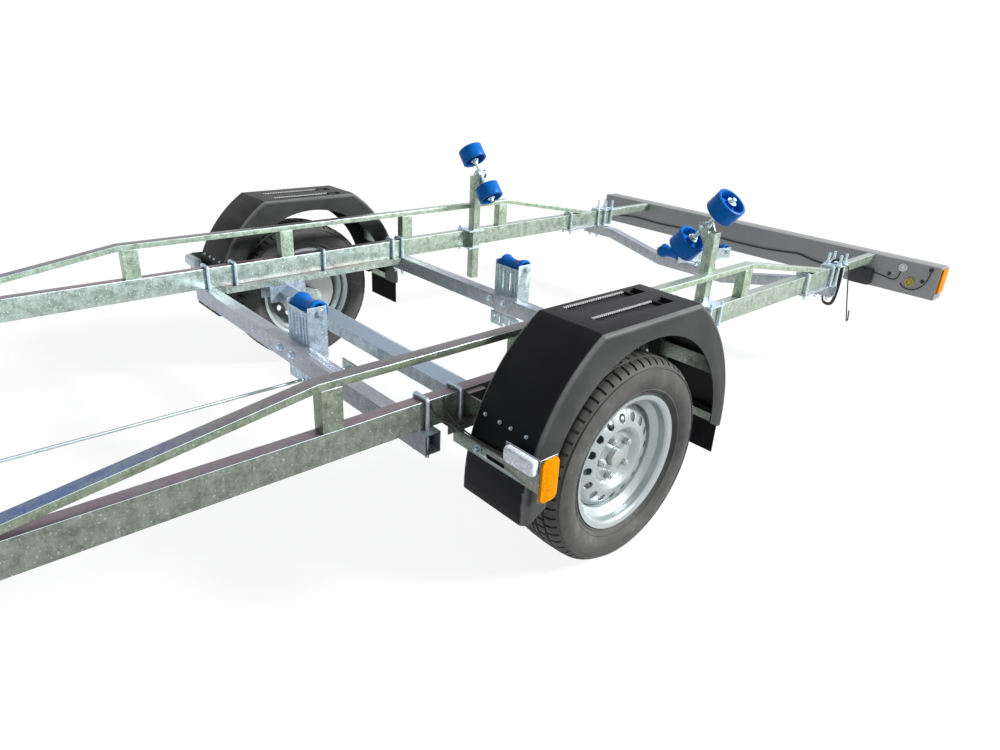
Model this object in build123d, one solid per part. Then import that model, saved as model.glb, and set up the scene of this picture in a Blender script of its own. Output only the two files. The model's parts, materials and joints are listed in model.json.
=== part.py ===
"""Boat trailer: truss frame, one braked rubber-sprung axle, keel and bilge rollers, light board, drawbar."""
from math import hypot, radians, tan
import os

from build123d import *

os.makedirs("parts", exist_ok=True)

# Axes: +X forwards to the coupling, +Y to the trailer's left, +Z up. The origin lies on the ground
# under the middle of the trailer. Lengths are millimetres; "_x" places are measured from the wheels.

# Overall
front_reach = 4398.0
rear_reach = 2428.0
wheels_x = (rear_reach - front_reach) / 2
sheet = 3.0
running_gap = 0.05

# Wheels
wheel_radius = 321.0
track_overhang = 421.0
tyre_width = 201.0
tyre_tread_width = 150.0
tyre_wall = 12.0
tyre_seat_play = 0.5
tyre_lip_play = 3.0
tyre_shoulder_drop = 16.0
tyre_shoulder_step = 8.0
tyre_shoulder_inset = 14.0
tyre_edge_drop = 6.0
tyre_crown_drop = 1.0
tyre_bulge_drop = 12.0
rim_flange_radius = 211.0
rim_seat_radius = 195.0
rim_well_radius = 169.0
rim_width = 158.0
rim_metal = 4.0
rim_outer_steps = ((4.0, 5.0), (0.0, 10.0), (-3.0, 32.0))  # radius from the seat, depth from the lip
rim_inner_steps = ((-3.0, 24.0), (0.0, 10.0), (4.0, 5.0))
rim_well_edges = (48.0, 40.0)
dish_rim_offset = 4.0
dish_rim_wall = 8.0
dish_rim_set = 6.0
vent_band = 14.0
vent_band_rise = (8.0, 20.0)
stud_land = ((40.0, 20.0), (28.0, 12.0), (18.0, 0.0))  # radius from the stud ring, rise
hub_hole_play = 6.0
stud_play = 0.5
vent_count = 16
vent_ring_radius = 129.5
vent_length = 27.0
vent_width = 24.0
stud_count = 5
stud_ring_radius = 60.0
stud_radius = 6.0
nut_radius = 12.0
nut_length = 16.0
hub_face = 23.5
drum_radius = 123.0
drum_depth = 98.0
drum_wall = 9.0
hub_radius = 36.0
hub_cap_length = 21.0
hub_cap_wall = 8.5
drum_edge_height = 8.0
drum_edge_depth = 10.0
hub_cap_seat = 8.0
stud_tail = 3.0

# Rails and drawbar
frame_width = 1470.0
rail_width = 40.0
rail_height = 80.0
rail_bottom = 474.0
rail_rear_setback = 466.0
rail_bend_x = 1748.0
nose_setback = 600.0
rail_nose_y = 75.0

# Truss over each rail
chord_height = 20.0
chord_top = 685.0
chord_front_foot_x = 1638.0
chord_rear_foot_setback = 175.0
post_length = 56.0
first_post_x = 778.0
post_pitch = 611.5
post_count = 4
post_margin = 4.0

# Crossbars
crossbar_depth = 50.0
crossbar_height = 60.0
crossbar_overhang = 33.0
crossbar_front_x = 511.0
crossbar_middle_x = -424.0
crossbar_rear_setback = 130.0
crossbar_bolt_offset = {"front": 0.0, "middle": 14.5, "rear": 0.0}
rear_bar_height = 50.0
rear_bar_drop = 75.0
rear_bar_flat = 400.0
rear_bar_shoulder = 170.0
clamp_plate_length = 245.0
clamp_plate_width = 80.0
clamp_plate_metal = 6.0
clamp_bolt_setback = 372.0

# U-bolts over the rails
u_bolt_radius = 6.0
u_bolt_gap = 2.0
bolt_hole_radius = 6.5
nut_across = 19.0
nut_height = 10.0
u_bolt_tail = 12.0
cover_bolt_tail = 38.0
cover_length = 28.0
cover_metal = 5.0
cover_places = (0.0, 58.0)  # rail end to each plate

# Axle
axle_rail_front_x = 453.0
axle_rail_rear_x = -390.0
axle_rail_width = 88.0
axle_rail_height = 27.0
axle_bolts_x = (400.0, 2.0, -358.0)
axle_x = 190.0
axle_z = 395.0
axle_across = 80.0
axle_overhang = 60.0
axle_plate = 8.0
axle_plate_length = 160.0
axle_plate_bottom = 375.0
arm_thickness = 28.0
arm_root_radius = 46.0
arm_eye_radius = 34.0
stub_radius = 17.5
stub_collar_radius = 30.0
backplate_radius = 130.0
backplate_gap = 6.0

# Fenders
fender_width = 242.0
fender_offset_y = -19.0
fender_x = -16.0
fender_top = 768.0
fender_half_top = 214.0
fender_shoulder = (369.0, 615.0)
fender_half_foot = 457.0
fender_foot = 307.0
fender_round = 17.0
arch_radius = 377.0
arch_centre_z = 335.0
arch_foot_margin = 27.0
stay_height = 50.0
stay_bottom = 493.0
stay_places = ((376.0, 322.0), (-413.0, -480.0))  # bar, foot
stay_clearance = 2.0
stay_notch = 1.0
stay_thickness = 6.0
stay_foot = 60.0
stay_foot_margin = 6.0
flap_bottom = 200.0
flap_top = 353.0
flap_margin = 12.0
flap_strip_height = 28.0

# Side markers
marker_x = 436.0
marker_bar_bottom = 423.0
marker_bar_height = 39.0
marker_plate_top = 517.0
marker_plate_width = 122.0
marker_overhang = 139.5
marker_return = 60.0
marker_skirt_bottom = 395.0
marker_foot = 38.0
reflector_length = 122.0
reflector_width = 60.0
reflector_depth = 8.0

# Keel rollers
roller_length = 122.0
roller_end_radius = 36.0
roller_waist_radius = 25.0
roller_end_wall = 9.0
roller_recess = 22.0
roller_land = 14.0
roller_chamfer = 3.0
roller_bolt_radius = 8.0
roller_end_gap = 5.0
bracket_sheet = 4.0
bracket_top = 606.0
bracket_bottom = 378.0
bracket_depth = 68.0
bracket_web_drop = 18.0
bracket_cheek_rise = 45.0
bracket_roller_z = 587.0
bracket_bolt_y = 42.0
bracket_bolt_z = 451.0
bracket_slot_half = 5.0
bracket_slot_rise = 20.0
bracket_slot_drop = 40.0

# Rear keel cradle
cradle_axle_z = 452.0
cradle_half_pitch = 210.0
cradle_end = 42.0
cradle_height = 38.0
cradle_roller_rise = 19.0
cradle_tilt = 4.4
cradle_pin_radius = 8.0
cradle_pin_tail = 12.0
cradle_tie_x = 90.0
cradle_tie_length = 60.0
ear_half_gap = 28.0
ear_metal = 6.0
ear_width = 38.0

# Bilge rollers
bilge_post_x = -842.0
bilge_post_size = 40.0
bilge_post_bottom = 312.0
bilge_post_top = 825.0
bilge_pivot_inset = 95.0
bilge_pivot_z = 841.0
bilge_tilt = 50.0
bilge_half_pitch = 104.0
bilge_wheel_radius = 61.0
bilge_wheel_width = 68.0
bilge_rod_radius = 8.0
bilge_ear_thickness = 5.0
bilge_hub_radius = 15.0
bilge_clamp_length = 96.0
bilge_clamp_metal = 6.0
bilge_clamp_reach = 14.0
bilge_clamp_bolt_margin = 12.0
bilge_clamp_tails = (24.0, 18.0)
bilge_ear_width = 36.0
bilge_ear_foot = 45.0
bilge_pin_tail = 8.0
bilge_hub_play = 1.0
bilge_rod_tail = 12.0
bilge_collar_gap = 2.0
bilge_collar_length = 6.0
bilge_collar_radius = 14.0
bilge_bush_radius = 20.0
bilge_rim_wall = 13.0
bilge_web_half = 6.0
bilge_edge = 3.0

# Light board
board_setback = 96.0
board_overhang = 313.0
board_bottom = 390.0
board_top = 552.0
board_metal = 2.0
board_lip = 20.0
extension_width = 34.0
extension_height = 42.0
extension_entry = 150.0
lamp_width = 236.0
lamp_height = 130.0
lamp_depth = 46.0
lamp_margin = 34.0
lamp_round = 12.0
end_reflector_margin = 8.0
end_reflector_width = 76.0
cable_box_inset = 89.0
cable_box_z = 398.0
cable_box_width = 106.0
cable_box_height = 80.0
cable_box_depth = 46.0
cable_box_round = 10.0

# Cords
cord_arc_share = 0.45
cord_gap = 0.5
board_cable_radius = 4.5
wire_radius = 2.5
string_radius = 3.0
coil_height = 243.0
coil_half_width = 46.0
coil_band = 20.0
coil_depth = 22.0
coil_gap = 3.0
coil_middle_z = 466.0

# Overrun device and coupling
housing_rear_setback = 740.0
housing_front_setback = 340.0
housing_radius = 42.0
housing_fit = 6.0
housing_rib_setback = 20.0
nose_plate_length = 110.0
nose_plate = 10.0
gaiter_folds = 6
gaiter_pitch = 18.0
gaiter_fold = 10.0
gaiter_rise = 2.0
draw_tube_setback = 30.0
draw_tube_radius = 25.0
draw_tube_front_setback = 130.0
coupling_z = 486.0
lever_gap = 12.0
lever_offset = 60.0
lever_lean = 130.0
lever_height = 350.0
lever_width = 26.0
lever_metal = 10.0
lever_pin_radius = 9.0
handle_length = 175.0
handle_rise = 34.0
handle_height = 18.0
handle_width = 30.0
ball_radius = 25.2
head_wall = 9.0
ball_setback = 45.0
socket_depth = 44.0

# Winch post
winch_post_setback = 1250.0
winch_post_size = 60.0
winch_post_top = 1210.0
winch_post_plate = 8.0
post_plate_margin = 20.0
winch_z = 1030.0
winch_reach = 62.0
winch_half = 42.0
winch_height = 130.0
winch_metal = 4.0
drum_axle_radius = 12.0
drum_axle_tail = 16.0
drum_flange_radius = 52.0
drum_flange_gap = 3.0
drum_flange = 3.0
strap_radius = 42.0
crank_gap = 60.0
crank_length = 190.0
crank_width = 20.0
crank_metal = 6.0
grip_length = 110.0
grip_radius = 12.0
stop_drop = 60.0
stop_reach = 130.0
stop_arm = 30.0
stop_height = 70.0
stop_depth = 90.0
stop_half_root = 60.0
stop_half_tip = 95.0
stop_wall = 25.0

# Jockey wheel
jockey_setback = 850.0
jockey_beside_beam = 65.0
jockey_tube_radius = 30.0
jockey_stem_radius = 24.0
jockey_tube_bottom = 445.0
jockey_tube_top = 940.0
jockey_cap = 20.0
jockey_lift = 150.0
jockey_fork_top = 242.0
jockey_wheel_radius = 105.0
jockey_wheel_width = 60.0
jockey_trail = 42.0
jockey_end_gap = 5.0
jockey_spindle = 30.0
jockey_crank = 120.0
jockey_arm_width = 16.0
jockey_arm_metal = 6.0
jockey_grip_radius = 12.0
jockey_grip_length = 80.0
jockey_clamp_half = 32.0
jockey_clamp_wall = 8.0
jockey_collar = 10.0
jockey_collar_radius = 34.0
jockey_axle_radius = 8.0
jockey_hub_wall = 14.0
jockey_tyre_depth = 28.0
jockey_shoulder = 10.0
jockey_web = 16.0
fork_width = 44.0
fork_gap = 6.0
fork_metal = 5.0

# Brake
brake_rod_z = 330.0
brake_rod_radius = 5.0
equaliser_metal = 6.0
equaliser_half_width = 45.0
equaliser_height = 44.0
rod_hanger_setback = 60.0
rod_hanger_width = 30.0
equaliser_x = 303.0

# Places that follow from the overall sizes
track_width = frame_width + track_overhang
marker_reach = track_width / 2 + marker_overhang
bilge_pivot_y = frame_width / 2 - bilge_pivot_inset
board_width = frame_width + 2 * board_overhang
cable_box_y = frame_width / 2 - cable_box_inset
rail_nose_x = front_reach - nose_setback
winch_post_x = front_reach - winch_post_setback
jockey_x = front_reach - jockey_setback
housing_rear_x = front_reach - housing_rear_setback
housing_front_x = front_reach - housing_front_setback
draw_tube_front_x = front_reach - draw_tube_front_setback
ball_x = front_reach - ball_setback
board_x = board_setback - rear_reach
rail_rear_x = rail_rear_setback - rear_reach
chord_rear_foot_x = rail_rear_x + chord_rear_foot_setback
crossbar_rear_x = rail_rear_x + crossbar_rear_setback
clamp_bolt_x = rail_rear_x + clamp_bolt_setback

# Derived places
rail_y = (frame_width - rail_width) / 2
rail_top = rail_bottom + rail_height
rail_middle = rail_bottom + rail_height / 2
track_half = track_width / 2


def at_x(distance):
    """Turn a distance ahead of the wheels into a place along the trailer."""
    return wheels_x + distance


def block(x_span, y_span, z_span):
    """Cuboid between two corners, given as one span for each axis."""
    spans = (x_span, y_span, z_span)
    middle = [(low + high) / 2 for low, high in spans]
    return Pos(*middle) * Box(*[high - low for low, high in spans])


def bar(start, end, radius):
    """Round bar between two points."""
    start, end = Vector(*start), Vector(*end)
    return Solid.make_cylinder(radius, (end - start).length, Plane(start, z_dir=end - start))


def nut(centre, axis, across, height):
    """Hexagonal nut standing on its centre point along axis."""
    return extrude(Plane(centre, z_dir=axis) * RegularPolygon(across / 2, 6, major_radius=False), height)


def strip(points, width):
    """Face of constant width along a line of points, mitred at its corners."""
    runs = [(end[0] - start[0], end[1] - start[1]) for start, end in zip(points, points[1:])]
    normals = [(-dy / hypot(dx, dy), dx / hypot(dx, dy)) for dx, dy in runs]
    left, right = [], []
    for (x, y), before, after in zip(points, normals[:1] + normals, normals + normals[-1:]):
        nx, ny = before[0] + after[0], before[1] + after[1]
        reach = width / (nx * nx + ny * ny)
        left.append((x + nx * reach, y + ny * reach))
        right.append((x - nx * reach, y - ny * reach))
    return make_face(Polyline(*left, *reversed(right), close=True))


def box_tube(points, plane, width, depth, wall):
    """Rectangular tube along points drawn in plane; width lies in the plane, depth across it."""
    outer = extrude(plane * strip(points, width), depth / 2, both=True)
    inner = extrude(plane * strip(points, width - 2 * wall), depth / 2 - wall, both=True)
    return outer - inner


def side_plane(y):
    """Plane seen from the trailer's right: X runs to the right and Z up."""
    return Plane((0, y, 0), x_dir=(1, 0, 0), z_dir=(0, -1, 0))


def cross_plane(x):
    """Plane seen from the front: Y runs to the right and Z up."""
    return Plane((x, 0, 0), x_dir=(0, 1, 0), z_dir=(1, 0, 0))


def turned(face, centre):
    """Solid turned about a line along Y; the face is drawn as radius and distance along Y."""
    return revolve(Plane(centre) * face, Axis(centre, (0, 1, 0)), 360)


def pair(shape):
    """A left-hand piece and its mirror image on the right."""
    return shape, mirror(shape, about=Plane.XZ)


def cord(points, radius):
    """Round cord along straight runs joined by arcs as large as the runs allow."""
    runs = [Vector(*end) - Vector(*start) for start, end in zip(points, points[1:])]
    bends = []
    for before, after in zip(runs, runs[1:]):
        half_turn = radians(before.get_angle(after)) / 2
        bends.append(cord_arc_share * min(before.length, after.length) / tan(half_turn))
    print("cord of diameter", 2 * radius, "bends at", [round(bend) for bend in bends])
    route = FilletPolyline(*points, radius=bends)
    return sweep(Plane(points[0], z_dir=runs[0]) * Circle(radius), path=route)


def save(node, *shapes):
    """Write one sub-part; solids that share a node don't touch."""
    solids = [solid for shape in shapes for solid in shape.solids()]
    export_step(Compound(solids), f"parts/{node}.step")


# Rails: straight behind the bend, then running together towards the nose
rail_points = [
    (at_x(rail_rear_x), rail_y),
    (at_x(rail_bend_x), rail_y),
    (at_x(rail_nose_x), rail_nose_y),
]
rail = box_tube(rail_points, Plane.XY.offset(rail_middle), rail_width, rail_height, sheet)
save("rails", *pair(rail))

# Truss chord: level over the posts, sloping down to the rail at both ends
chord_mid_z = chord_top - chord_height / 2
front_bend_x = first_post_x + post_length / 2 + post_margin
rear_bend_x = first_post_x - (post_count - 1) * post_pitch - post_length / 2 - post_margin
foot_z = rail_top - chord_height / 2
chord_points = [
    (at_x(chord_rear_foot_x), foot_z),
    (at_x(rear_bend_x), chord_mid_z),
    (at_x(front_bend_x), chord_mid_z),
    (at_x(chord_front_foot_x), foot_z),
]
chord = box_tube(chord_points, side_plane(rail_y), chord_height, rail_width, sheet)
chord_room = block((at_x(rail_rear_x), at_x(rail_bend_x)), (0, frame_width), (rail_top, chord_top))
save("truss_chords", *pair(chord & chord_room))

posts = []
for step in range(post_count):
    x = at_x(first_post_x - step * post_pitch)
    span = [(x, rail_top), (x, chord_top - chord_height)]
    posts += pair(box_tube(span, side_plane(rail_y), post_length, rail_width, sheet))
save("truss_posts", *posts)

# Crossbars: two straight tubes under the rails and a rear one dipped in the middle
bar_end_y = frame_width / 2 + crossbar_overhang
u_bolt_y = rail_width / 2 + u_bolt_radius + u_bolt_gap


def u_bolt_holes(x, z_span):
    """Drillings for the legs of the U-bolts over both rails."""
    holes = []
    for side in (-1, 1):
        for leg in (-1, 1):
            y = side * rail_y + leg * u_bolt_y
            holes.append(bar((x, y, z_span[0]), (x, y, z_span[1]), bolt_hole_radius))
    return holes


def straight_crossbar(x, bolt_offset):
    """Square-ended tube across the trailer, hung under both rails."""
    middle_z = rail_bottom - crossbar_height / 2
    span = [(-bar_end_y, middle_z), (bar_end_y, middle_z)]
    tube = box_tube(span, cross_plane(x), crossbar_height, crossbar_depth, sheet)
    for hole in u_bolt_holes(x + bolt_offset, (rail_bottom - crossbar_height, rail_bottom)):
        tube -= hole
    return tube


save(
    "crossbars",
    straight_crossbar(at_x(crossbar_front_x), crossbar_bolt_offset["front"]),
    straight_crossbar(at_x(crossbar_middle_x), crossbar_bolt_offset["middle"]),
)

rear_bar_z = rail_bottom - rear_bar_height / 2
shoulder_y = frame_width / 2 - rear_bar_shoulder
rear_bar_points = [
    (-bar_end_y, rear_bar_z),
    (-shoulder_y, rear_bar_z),
    (-rear_bar_flat / 2, rear_bar_z - rear_bar_drop),
    (rear_bar_flat / 2, rear_bar_z - rear_bar_drop),
    (shoulder_y, rear_bar_z),
    (bar_end_y, rear_bar_z),
]
rear_bar_x = at_x(crossbar_rear_x)
rear_bar = box_tube(rear_bar_points, cross_plane(rear_bar_x), rear_bar_height, crossbar_depth, sheet)
rear_bolt_x = rear_bar_x + crossbar_bolt_offset["rear"]
for hole in u_bolt_holes(rear_bolt_x, (rail_bottom - rear_bar_height, rail_bottom)):
    rear_bar -= hole
plate_rear_x = rear_bar_x + crossbar_depth / 2
clamp_plate = block(
    (plate_rear_x, plate_rear_x + clamp_plate_length),
    (rail_y - clamp_plate_width / 2, rail_y + clamp_plate_width / 2),
    (rail_bottom - clamp_plate_metal, rail_bottom),
)
for leg in (-1, 1):
    y = rail_y + leg * u_bolt_y
    x = at_x(clamp_bolt_x)
    clamp_plate -= bar((x, y, rail_bottom - clamp_plate_metal), (x, y, rail_bottom), bolt_hole_radius)
for plate in pair(clamp_plate):
    rear_bar += plate
save("crossbar_rear", rear_bar)

# Axle rails: channels clamped under the rails, open below
axle_rail_bottom = rail_bottom - axle_rail_height
axle_rail_span = (at_x(axle_rail_rear_x), at_x(axle_rail_front_x))
axle_rail_y = (rail_y - axle_rail_width / 2, rail_y + axle_rail_width / 2)
axle_rail = block(axle_rail_span, axle_rail_y, (axle_rail_bottom, rail_bottom))
axle_rail -= block(
    axle_rail_span,
    (axle_rail_y[0] + sheet, axle_rail_y[1] - sheet),
    (axle_rail_bottom, rail_bottom - sheet),
)
for bolt_x in axle_bolts_x:
    for leg in (-1, 1):
        y = rail_y + leg * u_bolt_y
        x = at_x(bolt_x)
        axle_rail -= bar((x, y, axle_rail_bottom), (x, y, rail_bottom), bolt_hole_radius)
save("axle_rails", *pair(axle_rail))


# U-bolts: a round bar bent over the rail, with a nut under each leg
def u_bolt(x, seat_z, tail=u_bolt_tail):
    """U-bolt over the left rail whose nuts bear upwards at seat_z."""
    top_z = rail_top + u_bolt_radius + u_bolt_gap
    tail_z = seat_z - nut_height - tail
    low, high = rail_y - u_bolt_y, rail_y + u_bolt_y
    route = FilletPolyline(
        (x, low, tail_z),
        (x, low, top_z),
        (x, high, top_z),
        (x, high, tail_z),
        radius=u_bolt_radius + u_bolt_gap,
    )
    shape = sweep(Plane((x, low, tail_z)) * Circle(u_bolt_radius), path=route)
    for y in (low, high):
        shape += nut((x, y, seat_z), (0, 0, -1), nut_across, nut_height)
    return shape


bolt_seats = [
    (crossbar_front_x + crossbar_bolt_offset["front"], rail_bottom - crossbar_height),
    (crossbar_middle_x + crossbar_bolt_offset["middle"], rail_bottom - crossbar_height),
    (crossbar_rear_x + crossbar_bolt_offset["rear"], rail_bottom - rear_bar_height),
]
bolt_seats += [(x, rail_bottom - sheet) for x in axle_bolts_x]
bolt_seats.append((clamp_bolt_x, rail_bottom - clamp_plate_metal))
bolts = []
for x, seat_z in bolt_seats:
    bolts += pair(u_bolt(at_x(x), seat_z))

# Rail ends: two cover plates, each held by a U-bolt whose legs point upwards
covers = []
for setback in cover_places:
    cover_x = at_x(rail_rear_x) + setback
    cover = block((cover_x, cover_x + cover_length), axle_rail_y, (rail_top, rail_top + cover_metal))
    x = cover_x + cover_length / 2
    for leg in (-1, 1):
        y = rail_y + leg * u_bolt_y
        cover -= bar((x, y, rail_top), (x, y, rail_top + cover_metal), bolt_hole_radius)
    covers += pair(cover)
    upturned = u_bolt(x, rail_bottom - cover_metal, cover_bolt_tail)
    bolts += pair(mirror(upturned, about=Plane.XY.offset(rail_middle)))
save("rail_u_bolts", *bolts, *covers)

# Axle: six-sided tube with welded hangers, and a trailing arm at each end
axle_centre_x = at_x(axle_x)
axle_half = frame_width / 2 + axle_overhang
hexagon = RegularPolygon(axle_across / 2, 6, major_radius=False, rotation=30)
hex_at_axle = side_plane(0) * (Pos(axle_centre_x, axle_z) * hexagon)
hex_core = RegularPolygon(axle_across / 2 - 5, 6, major_radius=False, rotation=30)
hex_core_at_axle = side_plane(0) * (Pos(axle_centre_x, axle_z) * hex_core)
axle_solid = extrude(hex_at_axle, axle_half, both=True)
hanger_x = (axle_centre_x - axle_plate_length / 2, axle_centre_x + axle_plate_length / 2)
hanger = block(hanger_x, axle_rail_y, (axle_rail_bottom - axle_plate, axle_rail_bottom))
for y in axle_rail_y:
    web = (y - axle_plate / 2, y + axle_plate / 2)
    hanger += block(hanger_x, web, (axle_plate_bottom, axle_rail_bottom - axle_plate))
axle = axle_solid
for side_hanger in pair(hanger):
    axle += side_hanger
save("axle_tube", axle - extrude(hex_core_at_axle, axle_half, both=True))

wheel_centre = (at_x(0), track_half, wheel_radius)
arm_y = (axle_half, axle_half + arm_thickness)
mount_y = track_half + hub_face
drum_inner_y = mount_y - drum_depth
collar_end_y = drum_inner_y - backplate_gap - sheet
arm_run = [(axle_centre_x, axle_z), (at_x(0), wheel_radius)]
arm_face = strip(arm_run, 2 * arm_eye_radius)
arm_face += Pos(*arm_run[0]) * Circle(arm_root_radius)
arm_face += Pos(*arm_run[1]) * Circle(arm_eye_radius)
arm = extrude(side_plane(arm_y[1]) * arm_face, arm_thickness)
arm += bar((at_x(0), arm_y[0], wheel_radius), (at_x(0), collar_end_y, wheel_radius), stub_collar_radius)
arm += bar((at_x(0), collar_end_y, wheel_radius), (at_x(0), mount_y, wheel_radius), stub_radius)
save("trailing_arms", *pair(arm))

backplate = bar(
    (at_x(0), collar_end_y, wheel_radius),
    (at_x(0), collar_end_y + sheet, wheel_radius),
    backplate_radius,
)
backplate -= bar(
    (at_x(0), collar_end_y, wheel_radius),
    (at_x(0), collar_end_y + sheet, wheel_radius),
    stub_radius,
)
save("brake_backplates", *pair(backplate))


# Wheels
def tyre_shape():
    """Tyre as a hollow ring with a rounded crown and bulging sidewalls."""
    half = tyre_width / 2
    tread = tyre_tread_width / 2
    bead = rim_width / 2 - rim_metal * 3
    seat = rim_seat_radius + tyre_seat_play
    lip = rim_flange_radius + tyre_lip_play
    shoulder_r = wheel_radius - tyre_shoulder_drop
    shoulder_y = tread + tyre_shoulder_step
    edge_r = wheel_radius - tyre_edge_drop
    crown_r = wheel_radius - tyre_crown_drop
    crown_y = tread - tyre_shoulder_inset
    bulge_r = (rim_flange_radius + wheel_radius) / 2 - tyre_bulge_drop
    outline = [
        Line((seat, -bead), (lip, -bead)),
        ThreePointArc((lip, -bead), (bulge_r, -half), (shoulder_r, -shoulder_y)),
        ThreePointArc((shoulder_r, -shoulder_y), (edge_r, -tread), (crown_r, -crown_y)),
        ThreePointArc((crown_r, -crown_y), (wheel_radius, 0), (crown_r, crown_y)),
        ThreePointArc((crown_r, crown_y), (edge_r, tread), (shoulder_r, shoulder_y)),
        ThreePointArc((shoulder_r, shoulder_y), (bulge_r, half), (lip, bead)),
        Line((lip, bead), (seat, bead)),
        Line((seat, bead), (seat, bead - tyre_wall)),
        Line((seat, bead - tyre_wall), (lip, bead - tyre_wall)),
        ThreePointArc(
            (lip, bead - tyre_wall), (bulge_r, half - tyre_wall), (shoulder_r, tread - tyre_wall / 2)
        ),
        Line((shoulder_r, tread - tyre_wall / 2), (shoulder_r, -tread + tyre_wall / 2)),
        ThreePointArc(
            (shoulder_r, -tread + tyre_wall / 2), (bulge_r, -half + tyre_wall), (lip, -bead + tyre_wall)
        ),
        Line((lip, -bead + tyre_wall), (seat, -bead + tyre_wall)),
        Line((seat, -bead + tyre_wall), (seat, -bead)),
    ]
    return turned(make_face(outline), wheel_centre)


def rim_shape():
    """Pressed steel rim: barrel with a drop centre, and a dished disc with vents and stud holes."""
    half = rim_width / 2
    metal = rim_metal / 2
    seat = rim_seat_radius - metal
    well = rim_well_radius
    barrel = [
        (rim_flange_radius, half),
        *[(seat + rise, half - depth) for rise, depth in rim_outer_steps],
        (well, half - rim_well_edges[0]),
        (well, rim_well_edges[1] - half),
        *[(seat + rise, depth - half) for rise, depth in rim_inner_steps],
        (rim_flange_radius, -half),
    ]
    mount = hub_face + metal
    dish = [
        (well - metal, dish_rim_offset),
        (well - dish_rim_wall, mount - dish_rim_set),
        (vent_ring_radius + vent_band, mount + vent_band_rise[0]),
        (vent_ring_radius - vent_band, mount + vent_band_rise[1]),
        *[(stud_ring_radius + reach, mount + rise) for reach, rise in stud_land],
        (hub_radius - hub_hole_play, mount),
    ]
    shape = turned(strip(barrel, rim_metal), wheel_centre) + turned(strip(dish, rim_metal), wheel_centre)
    side = Plane(wheel_centre, x_dir=(1, 0, 0), z_dir=(0, 1, 0))
    vent = extrude(SlotOverall(vent_length, vent_width), rim_width)
    hole = Pos(stud_ring_radius, 0) * extrude(Circle(stud_radius + stud_play), rim_width)
    for step in range(vent_count):
        shape -= side * (Rot(0, 0, 360 / vent_count * step) * (Pos(vent_ring_radius, 0) * vent))
    for step in range(stud_count):
        shape -= side * (Rot(0, 0, 360 / stud_count * step) * hole)
    return shape


def drum_shape():
    """Brake drum and hub in one casting, with studs, nuts and a grease cap."""
    depth = drum_depth
    face = [
        (stub_radius + running_gap, hub_face - depth),
        (hub_radius, hub_face - depth),
        (hub_radius, hub_face - drum_wall),
        (drum_radius - drum_wall, hub_face - drum_wall),
        (drum_radius - drum_wall, hub_face - depth),
        (drum_radius, hub_face - depth),
        (drum_radius, hub_face - drum_edge_height),
        (drum_radius - drum_edge_depth, hub_face),
        (hub_radius - hub_cap_wall, hub_face),
        (hub_radius - hub_cap_wall, hub_face + hub_cap_length),
        (0, hub_face + hub_cap_length),
        (0, hub_face + hub_cap_seat),
        (stub_radius + running_gap, hub_face + hub_cap_seat),
    ]
    shape = turned(make_face(Polyline(*face, close=True)), wheel_centre)
    side = Plane(wheel_centre, x_dir=(1, 0, 0), z_dir=(0, 1, 0)).offset(hub_face)
    stud = extrude(Circle(stud_radius), rim_metal + nut_length + stud_tail)
    stud += Pos(0, 0, rim_metal) * extrude(RegularPolygon(nut_radius, 6), nut_length)
    for step in range(stud_count):
        shape += side * (Rot(0, 0, 360 / stud_count * step) * (Pos(stud_ring_radius, 0) * stud))
    return shape


for name, shape in (("tyre", tyre_shape()), ("rim", rim_shape()), ("brake_drum", drum_shape())):
    left, right = pair(shape)
    save(f"{name}_left", left)
    save(f"{name}_right", right)


# Fenders: plastic shells with a flat top, curved ends and an arch cut in both sides
def fender_solid(inset, rounding):
    """Closed fender body, made smaller all round by inset for the hollow inside."""
    shoulder_x, shoulder_z = fender_shoulder
    top_end = (fender_half_top - inset / 2, fender_top - inset)
    shoulder = (shoulder_x - inset * 0.8, shoulder_z - inset * 0.6)
    foot_end = (fender_half_foot - inset, fender_foot)
    outline = [
        Line((-top_end[0], top_end[1]), top_end),
        ThreePointArc(top_end, shoulder, foot_end),
        Line(foot_end, (-foot_end[0], fender_foot)),
        ThreePointArc((-foot_end[0], fender_foot), (-shoulder[0], shoulder[1]), (-top_end[0], top_end[1])),
    ]
    width = fender_width - 2 * inset
    plane = side_plane(track_half + fender_offset_y + width / 2)
    plane.origin = (at_x(fender_x), plane.origin.Y, 0)
    solid = extrude(plane * make_face(outline), width)
    edges = [
        edge
        for edge in solid.edges()
        if abs((edge @ 0).Y - (edge @ 1).Y) < 1 and edge.center().Z > fender_foot + 1
    ]
    return fillet(edges, rounding)


def fender_shape():
    """Hollow fender with both wheel arches cut away."""
    shell = fender_solid(0, fender_round) - fender_solid(sheet, fender_round - sheet)
    foot_x = fender_half_foot - arch_foot_margin
    arch = Pos(0, arch_centre_z) * Circle(arch_radius)
    arch += make_face(
        Polyline(
            (-arch_radius, arch_centre_z),
            (arch_radius, arch_centre_z),
            (foot_x, fender_foot),
            (-foot_x, fender_foot),
            close=True,
        )
    )
    plane = side_plane(track_half + fender_offset_y + fender_width)
    plane.origin = (at_x(fender_x), plane.origin.Y, 0)
    shell -= extrude(plane * arch, 2 * fender_width)
    for x, foot_x in stay_places:
        shell -= block(
            (at_x(x) - stay_notch, at_x(x) + stay_thickness + stay_notch),
            (fender_y[0] - 1, fender_y[0] + fender_round),
            (stay_bottom - stay_notch, stay_bottom + stay_height + stay_notch),
        )
    return shell


fender_y = (
    track_half + fender_offset_y - fender_width / 2,
    track_half + fender_offset_y + fender_width / 2,
)
save("fenders", *pair(fender_shape()))

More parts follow.
